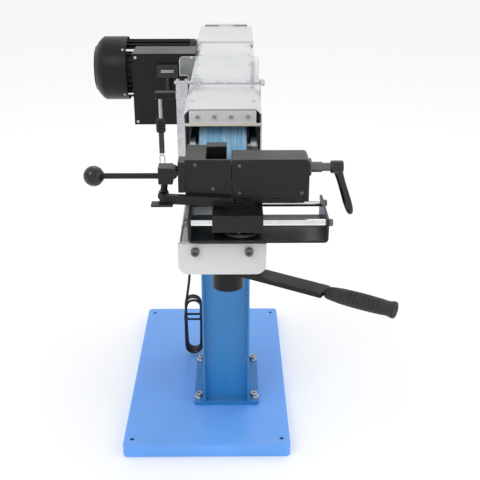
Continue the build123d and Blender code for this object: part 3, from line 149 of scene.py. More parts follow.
def edge_wear_group():
    """Mask of rubbed edges: where the rounded normal leaves the true one, broken up by noise."""
    tree, given, result = group_shell(
        "Edge wear", [("Vector", "NodeSocketVector", None), ("Reach", "NodeSocketFloat", 0.0015),
                      ("Patch Scale", "NodeSocketFloat", 60.0)], [("Mask", "NodeSocketFloat")])
    bevel = tree.nodes.new("ShaderNodeBevel")
    bevel.samples = 4
    tree.links.new(given.outputs["Reach"], bevel.inputs["Radius"])
    geometry = tree.nodes.new("ShaderNodeNewGeometry")
    dot = tree.nodes.new("ShaderNodeVectorMath")
    dot.operation = "DOT_PRODUCT"
    tree.links.new(bevel.outputs["Normal"], dot.inputs[0])
    tree.links.new(geometry.outputs["Normal"], dot.inputs[1])
    edge = span(tree, dot.outputs["Value"], 0.995, 0.93)
    patch = noise_node(tree, given.outputs["Vector"], given.outputs["Patch Scale"], 4.0)
    tree.links.new(maths(tree, "MULTIPLY", edge, span(tree, patch, 0.46, 0.62)), result.inputs["Mask"])
    return tree


def orange_peel_group():
    """Fine ripple of sprayed paint as a height, with slow drift as a mask."""
    tree, given, result = group_shell(
        "Orange peel", [("Vector", "NodeSocketVector", None), ("Ripple Scale", "NodeSocketFloat", 420.0)],
        [("Height", "NodeSocketFloat"), ("Drift", "NodeSocketFloat")])
    tree.links.new(noise_node(tree, given.outputs["Vector"], given.outputs["Ripple Scale"], 1.5),
                   result.inputs["Height"])
    tree.links.new(span(tree, noise_node(tree, given.outputs["Vector"], 5.0, 5.0), 0.3, 0.7),
                   result.inputs["Drift"])
    return tree


def dust_group():
    """Mask of dust: upward faces, in soft patches."""
    tree, given, result = group_shell(
        "Settled dust", [("Vector", "NodeSocketVector", None), ("Patch Scale", "NodeSocketFloat", 14.0)],
        [("Mask", "NodeSocketFloat")])
    geometry = tree.nodes.new("ShaderNodeNewGeometry")
    part = tree.nodes.new("ShaderNodeSeparateXYZ")
    tree.links.new(geometry.outputs["Normal"], part.inputs[0])
    upward = span(tree, part.outputs["Z"], 0.55, 1.0)
    patch = span(tree, noise_node(tree, given.outputs["Vector"], given.outputs["Patch Scale"], 6.0, 0.65),
                 0.42, 0.72)
    tree.links.new(maths(tree, "MULTIPLY", upward, patch), result.inputs["Mask"])
    return tree


def machining_group():
    """Lay of a turned or milled surface: fine streaks along the direction given by Stretch."""
    tree, given, result = group_shell(
        "Machining lay",
        [("Vector", "NodeSocketVector", None), ("Stretch", "NodeSocketVector", (40, 900, 900))],
        [("Height", "NodeSocketFloat"), ("Streak", "NodeSocketFloat")])
    scaled = tree.nodes.new("ShaderNodeVectorMath")
    scaled.operation = "MULTIPLY"
    tree.links.new(given.outputs["Vector"], scaled.inputs[0])
    tree.links.new(given.outputs["Stretch"], scaled.inputs[1])
    fine = noise_node(tree, scaled.outputs["Vector"], 1.0, 2.0)
    tree.links.new(fine, result.inputs["Height"])
    tree.links.new(span(tree, fine, 0.35, 0.65), result.inputs["Streak"])
    return tree


def scuff_group():
    """Mask of thin random scratches in two directions."""
    tree, given, result = group_shell(
        "Scuffs", [("Vector", "NodeSocketVector", None), ("Density", "NodeSocketFloat", 30.0)],
        [("Mask", "NodeSocketFloat")])
    found = []
    for turn in (0.5, 2.1):
        turned = tree.nodes.new("ShaderNodeMapping")
        turned.inputs["Rotation"].default_value = (turn, turn * 0.7, turn)
        turned.inputs["Scale"].default_value = (1, 14, 14)
        tree.links.new(given.outputs["Vector"], turned.inputs["Vector"])
        line = noise_node(tree, turned.outputs["Vector"], given.outputs["Density"], 1.0)
        found.append(span(tree, line, 0.70, 0.74))
    tree.links.new(maths(tree, "MAXIMUM", found[0], found[1]), result.inputs["Mask"])
    return tree


GROUPS = {}


def shared_groups():
    GROUPS.update(wear=edge_wear_group(), peel=orange_peel_group(), dust=dust_group(),
                  lay=machining_group(), scuff=scuff_group())


# ---------------------------------------------------------------- materials
FINISHES = {}


def start_finish(name):
    finish = bpy.data.materials.new(name)
    finish.use_nodes = True
    tree = finish.node_tree
    tree.nodes.clear()
    out = tree.nodes.new("ShaderNodeOutputMaterial")
    shader = tree.nodes.new("ShaderNodeBsdfPrincipled")
    tree.links.new(shader.outputs[0], out.inputs[0])
    place = tree.nodes.new("ShaderNodeTexCoord").outputs["Object"]
    FINISHES[name] = finish
    return tree, shader, place


def placed(tree, key, place, **values):
    node = tree.nodes.new("ShaderNodeGroup")
    node.node_tree = GROUPS[key]
    tree.links.new(place, node.inputs["Vector"])
    for label, value in values.items():
        node.inputs[label.replace("_", " ")].default_value = value
    return node.outputs


def tint(tree, mask, under, over):
    """Colour going from under to over as the mask goes from 0 to 1."""
    node = tree.nodes.new("ShaderNodeMix")
    node.data_type = "RGBA"
    tree.links.new(mask, node.inputs["Factor"])
    for socket, value in zip((node.inputs[6], node.inputs[7]), (under, over)):
        if isinstance(value, tuple):
            socket.default_value = (*value[:3], 1.0)
        else:
            tree.links.new(value, socket)
    return node.outputs[2]


def relief(tree, shader, height, depth, strength=1.0):
    node = tree.nodes.new("ShaderNodeBump")
    node.inputs["Distance"].default_value = depth
    node.inputs["Strength"].default_value = strength
    tree.links.new(height, node.inputs["Height"])
    tree.links.new(node.outputs["Normal"], shader.inputs["Normal"])


def shade(colour, factor):
    return tuple(min(1.0, channel * factor) for channel in colour)


def sprayed_paint(name, colour, gloss, ripple=420.0, chip=(0.30, 0.30, 0.31), dusty=0.25, depth=0.00012,
                  scratched=0.03, sheen=0.5):
    """Sprayed or powder-coated paint, with drift in its tone, rubbed edges, scuffs and dust."""
    tree, shader, place = start_finish(name)
    peel = placed(tree, "peel", place, Ripple_Scale=ripple)
    base = tint(tree, peel["Drift"], shade(colour, 0.93), shade(colour, 1.06))
    dust = maths(tree, "MULTIPLY", placed(tree, "dust", place)["Mask"], dusty)
    base = tint(tree, dust, base, (0.42, 0.40, 0.37))
    scuff = placed(tree, "scuff", place, Density=24.0)["Mask"]
    base = tint(tree, maths(tree, "MULTIPLY", scuff, scratched), base, (0.4, 0.4, 0.4))
    wear = placed(tree, "wear", place)["Mask"]
    base = tint(tree, maths(tree, "MULTIPLY", wear, 0.55), base, chip)
    tree.links.new(base, shader.inputs["Base Color"])
    shader.inputs["Specular IOR Level"].default_value = sheen
    rough = maths(tree, "ADD", span(tree, peel["Drift"], 0, 1, gloss - 0.05, gloss + 0.06),
                  maths(tree, "MULTIPLY", dust, 0.5))
    tree.links.new(rough, shader.inputs["Roughness"])
    relief(tree, shader, peel["Height"], depth)
    return FINISHES[name]


def cut_metal(name, colour, rough, stretch, depth=0.00006, dirt=(0.09, 0.08, 0.07)):
    """Turned, milled or drawn metal with its lay, stains and polished edges."""
    tree, shader, place = start_finish(name)
    lay = placed(tree, "lay", place, Stretch=stretch)
    stain = span(tree, noise_node(tree, place, 35.0, 6.0, 0.6), 0.45, 0.75)
    base = tint(tree, lay["Streak"], shade(colour, 0.86), colour)
    base = tint(tree, maths(tree, "MULTIPLY", stain, 0.25), base, dirt)
    wear = placed(tree, "wear", place, Reach=0.001)["Mask"]
    base = tint(tree, wear, base, shade(colour, 1.25))
    tree.links.new(base, shader.inputs["Base Color"])
    shader.inputs["Metallic"].default_value = 1.0
    tree.links.new(span(tree, lay["Streak"], 0, 1, rough, rough + 0.14), shader.inputs["Roughness"])
    relief(tree, shader, lay["Height"], depth)
    return FINISHES[name]


def bright_plate(name, colour, rough):
    """Chromed or nickelled metal with faint drawing lines and smears."""
    tree, shader, place = start_finish(name)
    lay = placed(tree, "lay", place, Stretch=(30, 700, 700))
    smear = span(tree, noise_node(tree, place, 22.0, 5.0), 0.4, 0.7)
    tree.links.new(tint(tree, smear, colour, shade(colour, 0.84)), shader.inputs["Base Color"])
    shader.inputs["Metallic"].default_value = 1.0
    tree.links.new(span(tree, smear, 0, 1, rough, rough + 0.12), shader.inputs["Roughness"])
    relief(tree, shader, lay["Height"], 0.00002)
    return FINISHES[name]


def galvanised(name, colour):
    """Zinc coat with spangle cells of differing tone."""
    tree, shader, place = start_finish(name)
    cells = tree.nodes.new("ShaderNodeTexVoronoi")
    cells.inputs["Scale"].default_value = 160.0
    tree.links.new(place, cells.inputs["Vector"])
    part = tree.nodes.new("ShaderNodeSeparateColor")
    tree.links.new(cells.outputs["Color"], part.inputs[0])
    tree.links.new(tint(tree, part.outputs[0], shade(colour, 0.84), shade(colour, 1.1)),
                   shader.inputs["Base Color"])
    shader.inputs["Metallic"].default_value = 0.85
    tree.links.new(span(tree, part.outputs[1], 0, 1, 0.32, 0.5), shader.inputs["Roughness"])
    relief(tree, shader, noise_node(tree, place, 240.0), 0.00008)
    return FINISHES[name]


def moulded(name, colour, rough, grain=900.0, depth=0.00015):
    """Moulded plastic or rubber with a fine grain, pale rubbed edges and dust."""
    tree, shader, place = start_finish(name)
    grainy = noise_node(tree, place, grain, 2.0, 0.6)
    drift = span(tree, noise_node(tree, place, 12.0, 4.0), 0.35, 0.65)
    base = tint(tree, drift, shade(colour, 0.8), shade(colour, 1.25))
    dust = placed(tree, "dust", place, Patch_Scale=30.0)["Mask"]
    base = tint(tree, maths(tree, "MULTIPLY", dust, 0.10), base, (0.35, 0.34, 0.32))
    wear = placed(tree, "wear", place)["Mask"]
    base = tint(tree, maths(tree, "MULTIPLY", wear, 0.22), base, (0.25, 0.25, 0.26))
    tree.links.new(base, shader.inputs["Base Color"])
    tree.links.new(span(tree, grainy, 0.3, 0.7, rough - 0.07, rough + 0.08), shader.inputs["Roughness"])
    relief(tree, shader, grainy, depth)
    return FINISHES[name]


def abrasive_cloth(name, colour):
    """Coated belt: grit speckle, and streaks worn along its travel."""
    tree, shader, place = start_finish(name)
    grit = noise_node(tree, place, 1500.0, 2.0, 0.7)
    streak = placed(tree, "lay", place, Stretch=(330, 5, 14))["Streak"]
    load = span(tree, noise_node(tree, place, 240.0, 4.0, 0.7), 0.30, 0.55)
    base = tint(tree, span(tree, grit, 0.4, 0.62), shade(colour, 0.72), shade(colour, 1.35))
    base = tint(tree, maths(tree, "MULTIPLY", maths(tree, "MULTIPLY", streak, load), 0.9), base,
                (0.50, 0.66, 0.80))
    tree.links.new(base, shader.inputs["Base Color"])
    tree.links.new(span(tree, grit, 0.3, 0.7, 0.72, 0.95), shader.inputs["Roughness"])
    relief(tree, shader, grit, 0.0005)
    return FINISHES[name]


def clear_pane(name):
    """Clear polycarbonate: faint body, brighter cut edges, wipe marks."""
    tree, shader, place = start_finish(name)
    edge = placed(tree, "wear", place, Reach=0.004, Patch_Scale=3.0)["Mask"]
    smear = span(tree, noise_node(tree, place, 40.0, 5.0, 0.6), 0.45, 0.7)
    tree.links.new(tint(tree, smear, (0.62, 0.65, 0.67), (0.75, 0.77, 0.79)), shader.inputs["Base Color"])
    tree.links.new(span(tree, smear, 0, 1, 0.05, 0.2), shader.inputs["Roughness"])
    body = span(tree, smear, 0, 1, 0.13, 0.20)
    tree.links.new(maths(tree, "MINIMUM", maths(tree, "ADD", body, maths(tree, "MULTIPLY", edge, 0.8)), 0.9),
                   shader.inputs["Alpha"])
    relief(tree, shader, noise_node(tree, place, 60.0), 0.00003)
    return FINISHES[name]


def woven_strap(name, colour):
    """Webbing: crossed yarns as a fine weave."""
    tree, shader, place = start_finish(name)
    yarns = []
    for direction in ("X", "Z"):
        wave = tree.nodes.new("ShaderNodeTexWave")
        wave.bands_direction = direction
        wave.inputs["Scale"].default_value = 190.0
        wave.inputs["Distortion"].default_value = 0.6
        tree.links.new(place, wave.inputs["Vector"])
        yarns.append(wave.outputs["Fac"])
    weave = maths(tree, "MULTIPLY", yarns[0], yarns[1])
    tree.links.new(tint(tree, weave, shade(colour, 0.6), shade(colour, 2.2)), shader.inputs["Base Color"])
    shader.inputs["Sheen Weight"].default_value = 0.3
    tree.links.new(span(tree, weave, 0, 1, 0.95, 0.75), shader.inputs["Roughness"])
    relief(tree, shader, weave, 0.0004)
    return FINISHES[name]


def all_finishes(colours):
    black = tuple(colours.black)
    sprayed_paint("deck_paint", tuple(colours.deck), 0.34, dusty=0.10)
    sprayed_paint("column_paint", tuple(colours.column), 0.36, dusty=0.12)
    sprayed_paint("shell_paint", tuple(colours.shell), 0.38, 300.0, (0.45, 0.45, 0.46), 0.15)
    sprayed_paint("plate_paint", tuple(colours.plate), 0.42, 260.0, (0.42, 0.42, 0.43), 0.15, 0.0002)
    sprayed_paint("lip_paint", tuple(colours.lip), 0.45, 300.0)
    sprayed_paint("black_gloss", black, 0.34, 380.0, (0.12, 0.12, 0.13), 0.02, 0.00012, 0.01, 0.24)
    sprayed_paint("black_texture", shade(black, 1.3), 0.48, 230.0, (0.10, 0.10, 0.11), 0.02, 0.0004, 0.01,
                  0.22)
    sprayed_paint("vice_paint", shade(black, 1.1), 0.33, 260.0, (0.18, 0.18, 0.19), 0.02, 0.0003, 0.015, 0.32)
    cut_metal("milled_steel", (0.52, 0.53, 0.54), 0.26, (40, 900, 900))
    cut_metal("turned_steel", (0.58, 0.59, 0.60), 0.22, (900, 40, 40))
    cut_metal("dark_steel", (0.16, 0.16, 0.17), 0.38, (60, 500, 500))
    cut_metal("bush_bronze", (0.62, 0.42, 0.18), 0.28, (900, 60, 60), 0.00006, (0.12, 0.07, 0.03))
    cut_metal("winding_iron", (0.30, 0.20, 0.14), 0.42, (500, 30, 30), 0.0003)
    bright_plate("chrome", (0.80, 0.81, 0.82), 0.07)
    galvanised("zinc_sheet", (0.62, 0.63, 0.65))
    moulded("black_rubber", (0.010, 0.010, 0.011), 0.62, 700.0, 0.0003)
    moulded("ball_plastic", (0.006, 0.006, 0.007), 0.16, 200.0, 0.00004)
    moulded("case_plastic", (0.012, 0.012, 0.013), 0.44)
    moulded("cord_jacket", (0.012, 0.012, 0.013), 0.40, 500.0, 0.0001)
    moulded("core_yellow_green", (0.30, 0.45, 0.05), 0.40)
    moulded("core_brown", (0.12, 0.05, 0.02), 0.40)
    moulded("core_blue", (0.04, 0.12, 0.40), 0.40)
    moulded("switch_grey", (0.22, 0.22, 0.23), 0.40)
    abrasive_cloth("belt_cloth", tuple(colours.belt))
    clear_pane("pane_clear")
    woven_strap("strap_weave", (0.03, 0.03, 0.032))


# ---------------------------------------------------------------- sizes that pieces share, in metres
SPINDLE_Y = -0.690        # axis of the vice's screw
SPINDLE_Z = 0.912
GUIDE_Z = 0.826           # height of the guide rods
PROUD = 0.0012            # how far a weld bead's middle stands off its corner


# ---------------------------------------------------------------- modelling helpers
def piece(bm, name, finish, node=None, body=None, edge=None, smooth=40, stands_for=()):
    """Turns a bmesh into a finished piece on its body."""
    bmesh.ops.recalc_face_normals(bm, faces=bm.faces)
    return finished(bm, name, finish, node, body, edge, smooth, stands_for)


def finished(bm, name, finish, node=None, body=None, edge=None, smooth=40, stands_for=()):
    for item in bm.edges:
        item.smooth = not (len(item.link_faces) == 2 and item.calc_face_angle(0) > radians(smooth))
    for item in bm.faces:
        item.smooth = True
    mesh = bpy.data.meshes.new(name)
    bm.to_mesh(mesh)
    bm.free()
    obj = bpy.data.objects.new(name, mesh)
    bpy.context.scene.collection.objects.link(obj)
    mesh.materials.append(FINISHES[finish])
    if edge:
        cut = obj.modifiers.new("Edge round", "BEVEL")
        cut.width = edge
        cut.segments = 2
        cut.limit_method = "ANGLE"
        cut.angle_limit = radians(50)
        cut.harden_normals = False
    owner = body or BODY_OF[node or stands_for[0]]
    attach(obj, owner)
    if stands_for:
        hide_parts(*stands_for)
    return obj


def dressed(node, finish, edge=0.0008, smooth=35, name=None):
    """A merged and edge-rounded copy of a frame node that stands for it."""
    bm = bmesh.new()
    bm.from_mesh(frame["nodes"][node].data)
    bmesh.ops.remove_doubles(bm, verts=bm.verts, dist=1e-6)
    bmesh.ops.dissolve_limit(bm, angle_limit=radians(0.5), verts=bm.verts, edges=bm.edges)
    return finished(bm, name or node + "_finished", finish, edge=edge, smooth=smooth, stands_for=(node,))


def add_box(bm, low, high):
    made = bmesh.ops.create_cube(bm, size=1.0)["verts"]
    low, high = Vector(low), Vector(high)
    bmesh.ops.scale(bm, vec=high - low, verts=made)
    bmesh.ops.translate(bm, vec=(low + high) / 2, verts=made)
    return made


AXIS_TURN = {
    "x": Matrix.Rotation(pi / 2, 4, "Y"),
    "-x": Matrix.Rotation(-pi / 2, 4, "Y"),
    "y": Matrix.Rotation(-pi / 2, 4, "X"),
    "-y": Matrix.Rotation(pi / 2, 4, "X"),
    "z": Matrix.Identity(4),
    "-z": Matrix.Rotation(pi, 4, "X"),
}


def add_turned(bm, profile, place, axis="z", steps=40):
    """A turned shape: (radius, height) pairs spun round an axis through place."""
    verts = [bm.verts.new((radius, 0, height)) for radius, height in profile]
    edges = [bm.edges.new(pair) for pair in zip(verts, verts[1:])]
    bmesh.ops.spin(bm, geom=verts + edges, cent=(0, 0, 0), axis=(0, 0, 1), angle=2 * pi, steps=steps,
                   use_merge=True, use_duplicate=False)
    own = set(verts)
    reach = list(verts)
    while reach:
        for edge in reach.pop().link_edges:
            for vert in edge.verts:
                if vert not in own:
                    own.add(vert)
                    reach.append(vert)
    bmesh.ops.remove_doubles(bm, verts=list(own), dist=1e-6)
    own = [vert for vert in own if vert.is_valid]
    turn = AXIS_TURN[axis] if isinstance(axis, str) else axis
    bmesh.ops.transform(bm, matrix=Matrix.Translation(place) @ turn, verts=own)
    return own


def screw_head(bm, place, axis, radius, height):
    """Button-edged cap head with a sunk round socket."""
    socket = radius * 0.55
    deep = height * 0.55
    add_turned(bm, [(0, height - deep), (socket, height - deep), (socket, height), (radius * 0.9, height),
                    (radius, height * 0.88), (radius, 0), (0, 0)], place, axis, 18)


def add_ripple(bm, radius, flat, place):
    """One ripple of a weld bead: a ball flattened along the bead."""
    made = bmesh.ops.create_icosphere(bm, subdivisions=2, radius=radius)["verts"]
    bmesh.ops.scale(bm, vec=flat, verts=made)
    bmesh.ops.translate(bm, vec=place, verts=made)


def pan_head(bm, place, axis, radius):
    profile = [(0, 0.35), (0.25, 0.35), (0.3, 0.62), (0.7, 0.52), (1, 0.2), (1, 0), (0, 0)]
    add_turned(bm, [(radius * r, radius * h) for r, h in profile], place, axis, 18)


def between(a, b, t):
    return Vector(a) + (Vector(b) - Vector(a)) * t


# ---------------------------------------------------------------- camera, light and floor
class NOTCHER_OT_stage(bpy.types.Operator):
    """Camera, studio light and floor"""
    bl_idname = "notcher.stage"
    bl_label = "Stage"

    def execute(self, context):
        camera = bpy.data.cameras.new("camera")
        camera.lens = 61.1
        camera.clip_start = 0.05
        view = bpy.data.objects.new("camera", camera)
        view.location = (0.073, -2.172, 1.396)
        view.rotation_euler = (radians(66.8), 0, radians(-0.52))
        context.scene.collection.objects.link(view)
        context.scene.camera = view
        bm = bmesh.new()
        bmesh.ops.create_grid(bm, x_segments=1, y_segments=1, size=14)
        mesh = bpy.data.meshes.new("floor")
        bm.to_mesh(mesh)
        bm.free()
        floor = bpy.data.objects.new("floor", mesh)
        paint = bpy.data.materials.new("floor_paint")
        paint.use_nodes = True
        shader = paint.node_tree.nodes["Principled BSDF"]
        shader.inputs["Base Color"].default_value = (1.0, 1.0, 1.0, 1)
        shader.inputs["Roughness"].default_value = 0.6
        mesh.materials.append(paint)
        floor.location.z = -0.0005
        context.scene.collection.objects.link(floor)
        world = bpy.data.worlds.new("studio")
        world.use_nodes = True
        world.node_tree.nodes["Background"].inputs[0].default_value = (1, 1, 1, 1)
        world.node_tree.nodes["Background"].inputs[1].default_value = 0.93
        context.scene.world = world
        lamps = (("key", (-1.8, -2.4, 3.2), 1.6, 24), ("fill", (2.4, -1.6, 2.2), 2.2, 9),
                 ("top", (0.2, 1.6, 3.4), 1.8, 12))
        for name, place, size, power in lamps:
            lamp = bpy.data.lights.new(name, "AREA")
            lamp.size = size
            lamp.energy = power
            obj = bpy.data.objects.new(name, lamp)
            obj.location = place
            obj.rotation_euler = (Vector((0, 0, 0.7)) - Vector(place)).to_track_quat("-Z", "Y").to_euler()
            context.scene.collection.objects.link(obj)
        context.scene.view_settings.view_transform = "Standard"
        return {"FINISHED"}


# ---------------------------------------------------------------- mains cord
class NOTCHER_OT_cord(bpy.types.Operator):
    """Mains cord with its folded hank, tie and cut end"""
    bl_idname = "notcher.cord"
    bl_label = "Mains cord"

    def execute(self, context):
        sizes = context.scene.notcher_sizes
        hank_low, hank_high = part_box("cord_hank")
        x, y = -0.064, 0.112
        route = [(x, y, 0.759), (x, y - 0.001, 0.640), (x + 0.002, y - 0.006, 0.520),
                 (x + 0.001, y - 0.014, 0.400), (x + 0.004, y - 0.021, 0.310)]
        thick = sizes.cord_diameter
        centre = (hank_low + hank_high) / 2
        half = (hank_high.x - hank_low.x - thick) / 2
        layers = sizes.hank_turns
        first_y = hank_low.y + thick / 2
        pitch = (hank_high.y - hank_low.y - thick) / (layers - 0.55)
        route.append((centre.x - half + 0.006, first_y + 0.006, hank_high.z - 0.002))
        # each turn goes down the left, round the foot, up the right and over the top.
        # What each turn falls short of the full width and height, how far it hangs, and its lean:
        narrow = [0.0, 0.0012, 0.0004, 0.0016]
        short = [0.0, 0.010, 0.004, 0.015]
        drops = [0.0, -0.005, 0.002, -0.009]
        leans = [0.0, 0.0010, -0.0004, -0.0015]
        for turn in range(layers):
            wide = half - narrow[turn % 4]
            bend = wide * 1.03
            arch = (hank_high.z - hank_low.z - thick) / 2 - 0.001 - short[turn % 4] - wide
            sides = [(-wide, arch * up) for up in (0.62, 0.0, -0.74)]
            sides += [(bend * cos(radians(a)), -arch + bend * sin(radians(a)))
                      for a in (200, 232, 270, 308, 340)]
            sides += [(wide, arch * up) for up in (-0.74, 0.0, 0.74)]
            sides += [(bend * cos(radians(a)), arch + bend * sin(radians(a))) for a in (20, 52, 90, 128, 160)]
            for number, (across, up) in enumerate(sides):
                if turn == layers - 1 and number > 10:
                    break
                part = turn + number / len(sides)
                route.append((centre.x + across + leans[turn % 4] * up / arch, first_y + pitch * part,
                              centre.z + up + drops[turn % 4]))
        curve = bpy.data.curves.new("mains_cord_line", "CURVE")
        curve.dimensions = "3D"
        curve.bevel_depth = thick / 2
        curve.bevel_resolution = 4
        curve.use_fill_caps = True
        spline = curve.splines.new("NURBS")
        spline.points.add(len(route) - 1)
        for point, place in zip(spline.points, route):
            point.co = (*place, 1)
        spline.order_u = 3
        spline.use_endpoint_u = True
        spline.resolution_u = 8
        curve.materials.append(FINISHES["cord_jacket"])
        cord = bpy.data.objects.new("mains_cord_line", curve)
        context.scene.collection.objects.link(cord)
        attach(cord, BODY_OF["mains_cord"])
        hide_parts("mains_cord", "cord_hank")
        # tie round the waist of the hank
        bm = bmesh.new()
        ring = []
        for number in range(28):
            a = 2 * pi * number / 28
            ring.append((centre.x + (half + thick / 2 + 0.0012) * max(-1, min(1, 1.25 * cos(a))),
                         centre.y + (hank_high.y - hank_low.y) / 2 * max(-1, min(1, 1.3 * sin(a)))))
        verts = [bm.verts.new((px, py, centre.z + 0.022)) for px, py in ring]
        face = bm.faces.new(verts)
        up = bmesh.ops.extrude_face_region(bm, geom=[face])
        raised = [item for item in up["geom"] if isinstance(item, bmesh.types.BMVert)]
        bmesh.ops.translate(bm, vec=(0, 0, 0.007), verts=raised)
        for old in [f for f in bm.faces if abs(f.normal.z) > 0.9]:
            bm.faces.remove(old)
        bmesh.ops.solidify(bm, geom=bm.faces[:], thickness=0.001)
        piece(bm, "cord_tie", "case_plastic", node="cord_hank")
        # bared cores at the cut end
        end = Vector(route[-1])
        run = (end - Vector(route[-2])).normalized()
        for number, core in enumerate(("core_yellow_green", "core_brown", "core_blue")):
            a = 2 * pi * number / 3
            side = Vector((cos(a), sin(a), 0)) * 0.0019
            bm = bmesh.new()
            lean = (run + side * 40).to_track_quat("Z", "Y").to_matrix().to_4x4()
            add_turned(bm, [(0, 0.016), (0.0012, 0.016), (0.0013, 0.0), (0, 0)], end + side, lean, 14)
            piece(bm, "cord_" + core, core, node="mains_cord")
        gland = dressed("cord_gland", "case_plastic", 0.0006)
        return {"FINISHED"}


# ---------------------------------------------------------------- base and column
class NOTCHER_OT_pedestal(bpy.types.Operator):
    """Base, column with its welds, and their bolts"""
    bl_idname = "notcher.pedestal"
    bl_label = "Pedestal"

    def execute(self, context):
        sizes = context.scene.notcher_sizes
        dressed("base_plate", "deck_paint", sizes.casting_round)
        dressed("column", "column_paint", sizes.edge_round)
        dressed("pedestal_bolts", "turned_steel", 0.0005)
        left, right, front = -0.008, 0.112, -0.181
        bm = bmesh.new()
        # rippled beads where the webs meet the cheeks, and round the foot
        for x, side in ((left, 1), (right, -1)):
            for y, out in ((front, -1), (0.035, 1)):
                for number in range(7):
                    middle = 0.047 + 0.09 * (number + 0.5)
                    for ripple in range(9):
                        z = middle + (ripple - 4) * 0.0034
                        add_ripple(bm, sizes.weld_bead * 0.55, (1, 1, 0.55),
                                   (x + side * PROUD, y + out * PROUD, z))
        for x in (-0.013, 0.117):
            out = -1 if x < 0 else 1
            for number in range(46):
                y = -0.198 + number * 0.0055
                add_ripple(bm, sizes.weld_bead * 0.6, (1, 0.6, 1), (x + out * PROUD, y, 0.0485))
        piece(bm, "column_welds", "column_paint", node="column")
        bm = bmesh.new()
        washer = [(0.0066, 0.0), (0.0145, 0.0), (0.0145, 0.0018), (0.0138, 0.0024), (0.0092, 0.0024),
                  (0.0092, 0.0)]
        for x in (-0.027, 0.131):
            for y in (-0.175, 0.029):
                add_turned(bm, washer, (x, y, 0.0471), "z", 28)
        piece(bm, "foot_washers", "turned_steel", node="pedestal_bolts")
        return {"FINISHED"}


# ---------------------------------------------------------------- body shell
class NOTCHER_OT_shell(bpy.types.Operator):
    """Body shell: walls, floor, front plate, hood, rear cover, strip, lip and spigot"""
    bl_idname = "notcher.shell"
    bl_label = "Body shell"

    def execute(self, context):
        sizes = context.scene.notcher_sizes
        for node in ("side_wall_left", "side_wall_right", "body_floor", "hood", "rear_cover", "dust_spigot"):
            dressed(node, "shell_paint", sizes.edge_round)
        dressed("front_plate", "plate_paint", sizes.casting_round)
        dressed("hood_strip", "plate_paint", 0.0006)
        dressed("rear_hinge", "zinc_sheet", 0.0006)
        dressed("ten_mm_screws", "dark_steel", 0.0005)
        dressed("cover_screws", "turned_steel", 0.0003)
        low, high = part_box("hood_strip")
        bm = bmesh.new()
        add_box(bm, (low.x + 0.0006, low.y - 0.0004, low.z - 0.0006),
                (high.x - 0.0006, low.y + 0.0018, low.z + 0.0044))
        piece(bm, "lip_edge", "lip_paint", node="hood_strip", edge=0.0006)
        # rivets along both side edges of the hood
        low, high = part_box("hood")
        bm = bmesh.new()
        for x in (low.x + 0.016, high.x - 0.016):
            for number in range(6):
                y = between(low, high, (number + 0.5) / 6).y
                pan_head(bm, (x, y, high.z - 0.0002), "z", 0.0042)
        piece(bm, "hood_rivets", "turned_steel", node="hood")
        bm = bmesh.new()
        for wall, axis in (("side_wall_left", "-x"), ("side_wall_right", "x")):
            low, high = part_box(wall)
            face = low.x if axis == "-x" else high.x
            for number in range(9):
                y = -0.70 + number * 0.155
                pan_head(bm, (face, y, 0.7345), axis, 0.0045)
        piece(bm, "wall_rivets", "turned_steel", node="side_wall_left", body=BODY_OF["side_wall_left"])
        low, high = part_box("dust_spigot")
        bm = bmesh.new()
        middle = (low + high) / 2
        for back in (0.012, 0.004):
            add_turned(bm, [(0.0502, -0.0015), (0.0514, -0.0011), (0.0514, 0.0011), (0.0502, 0.0015)],
                       (middle.x, high.y - back, middle.z), "y", 64)
        piece(bm, "spigot_beads", "shell_paint", node="dust_spigot")
        return {"FINISHED"}


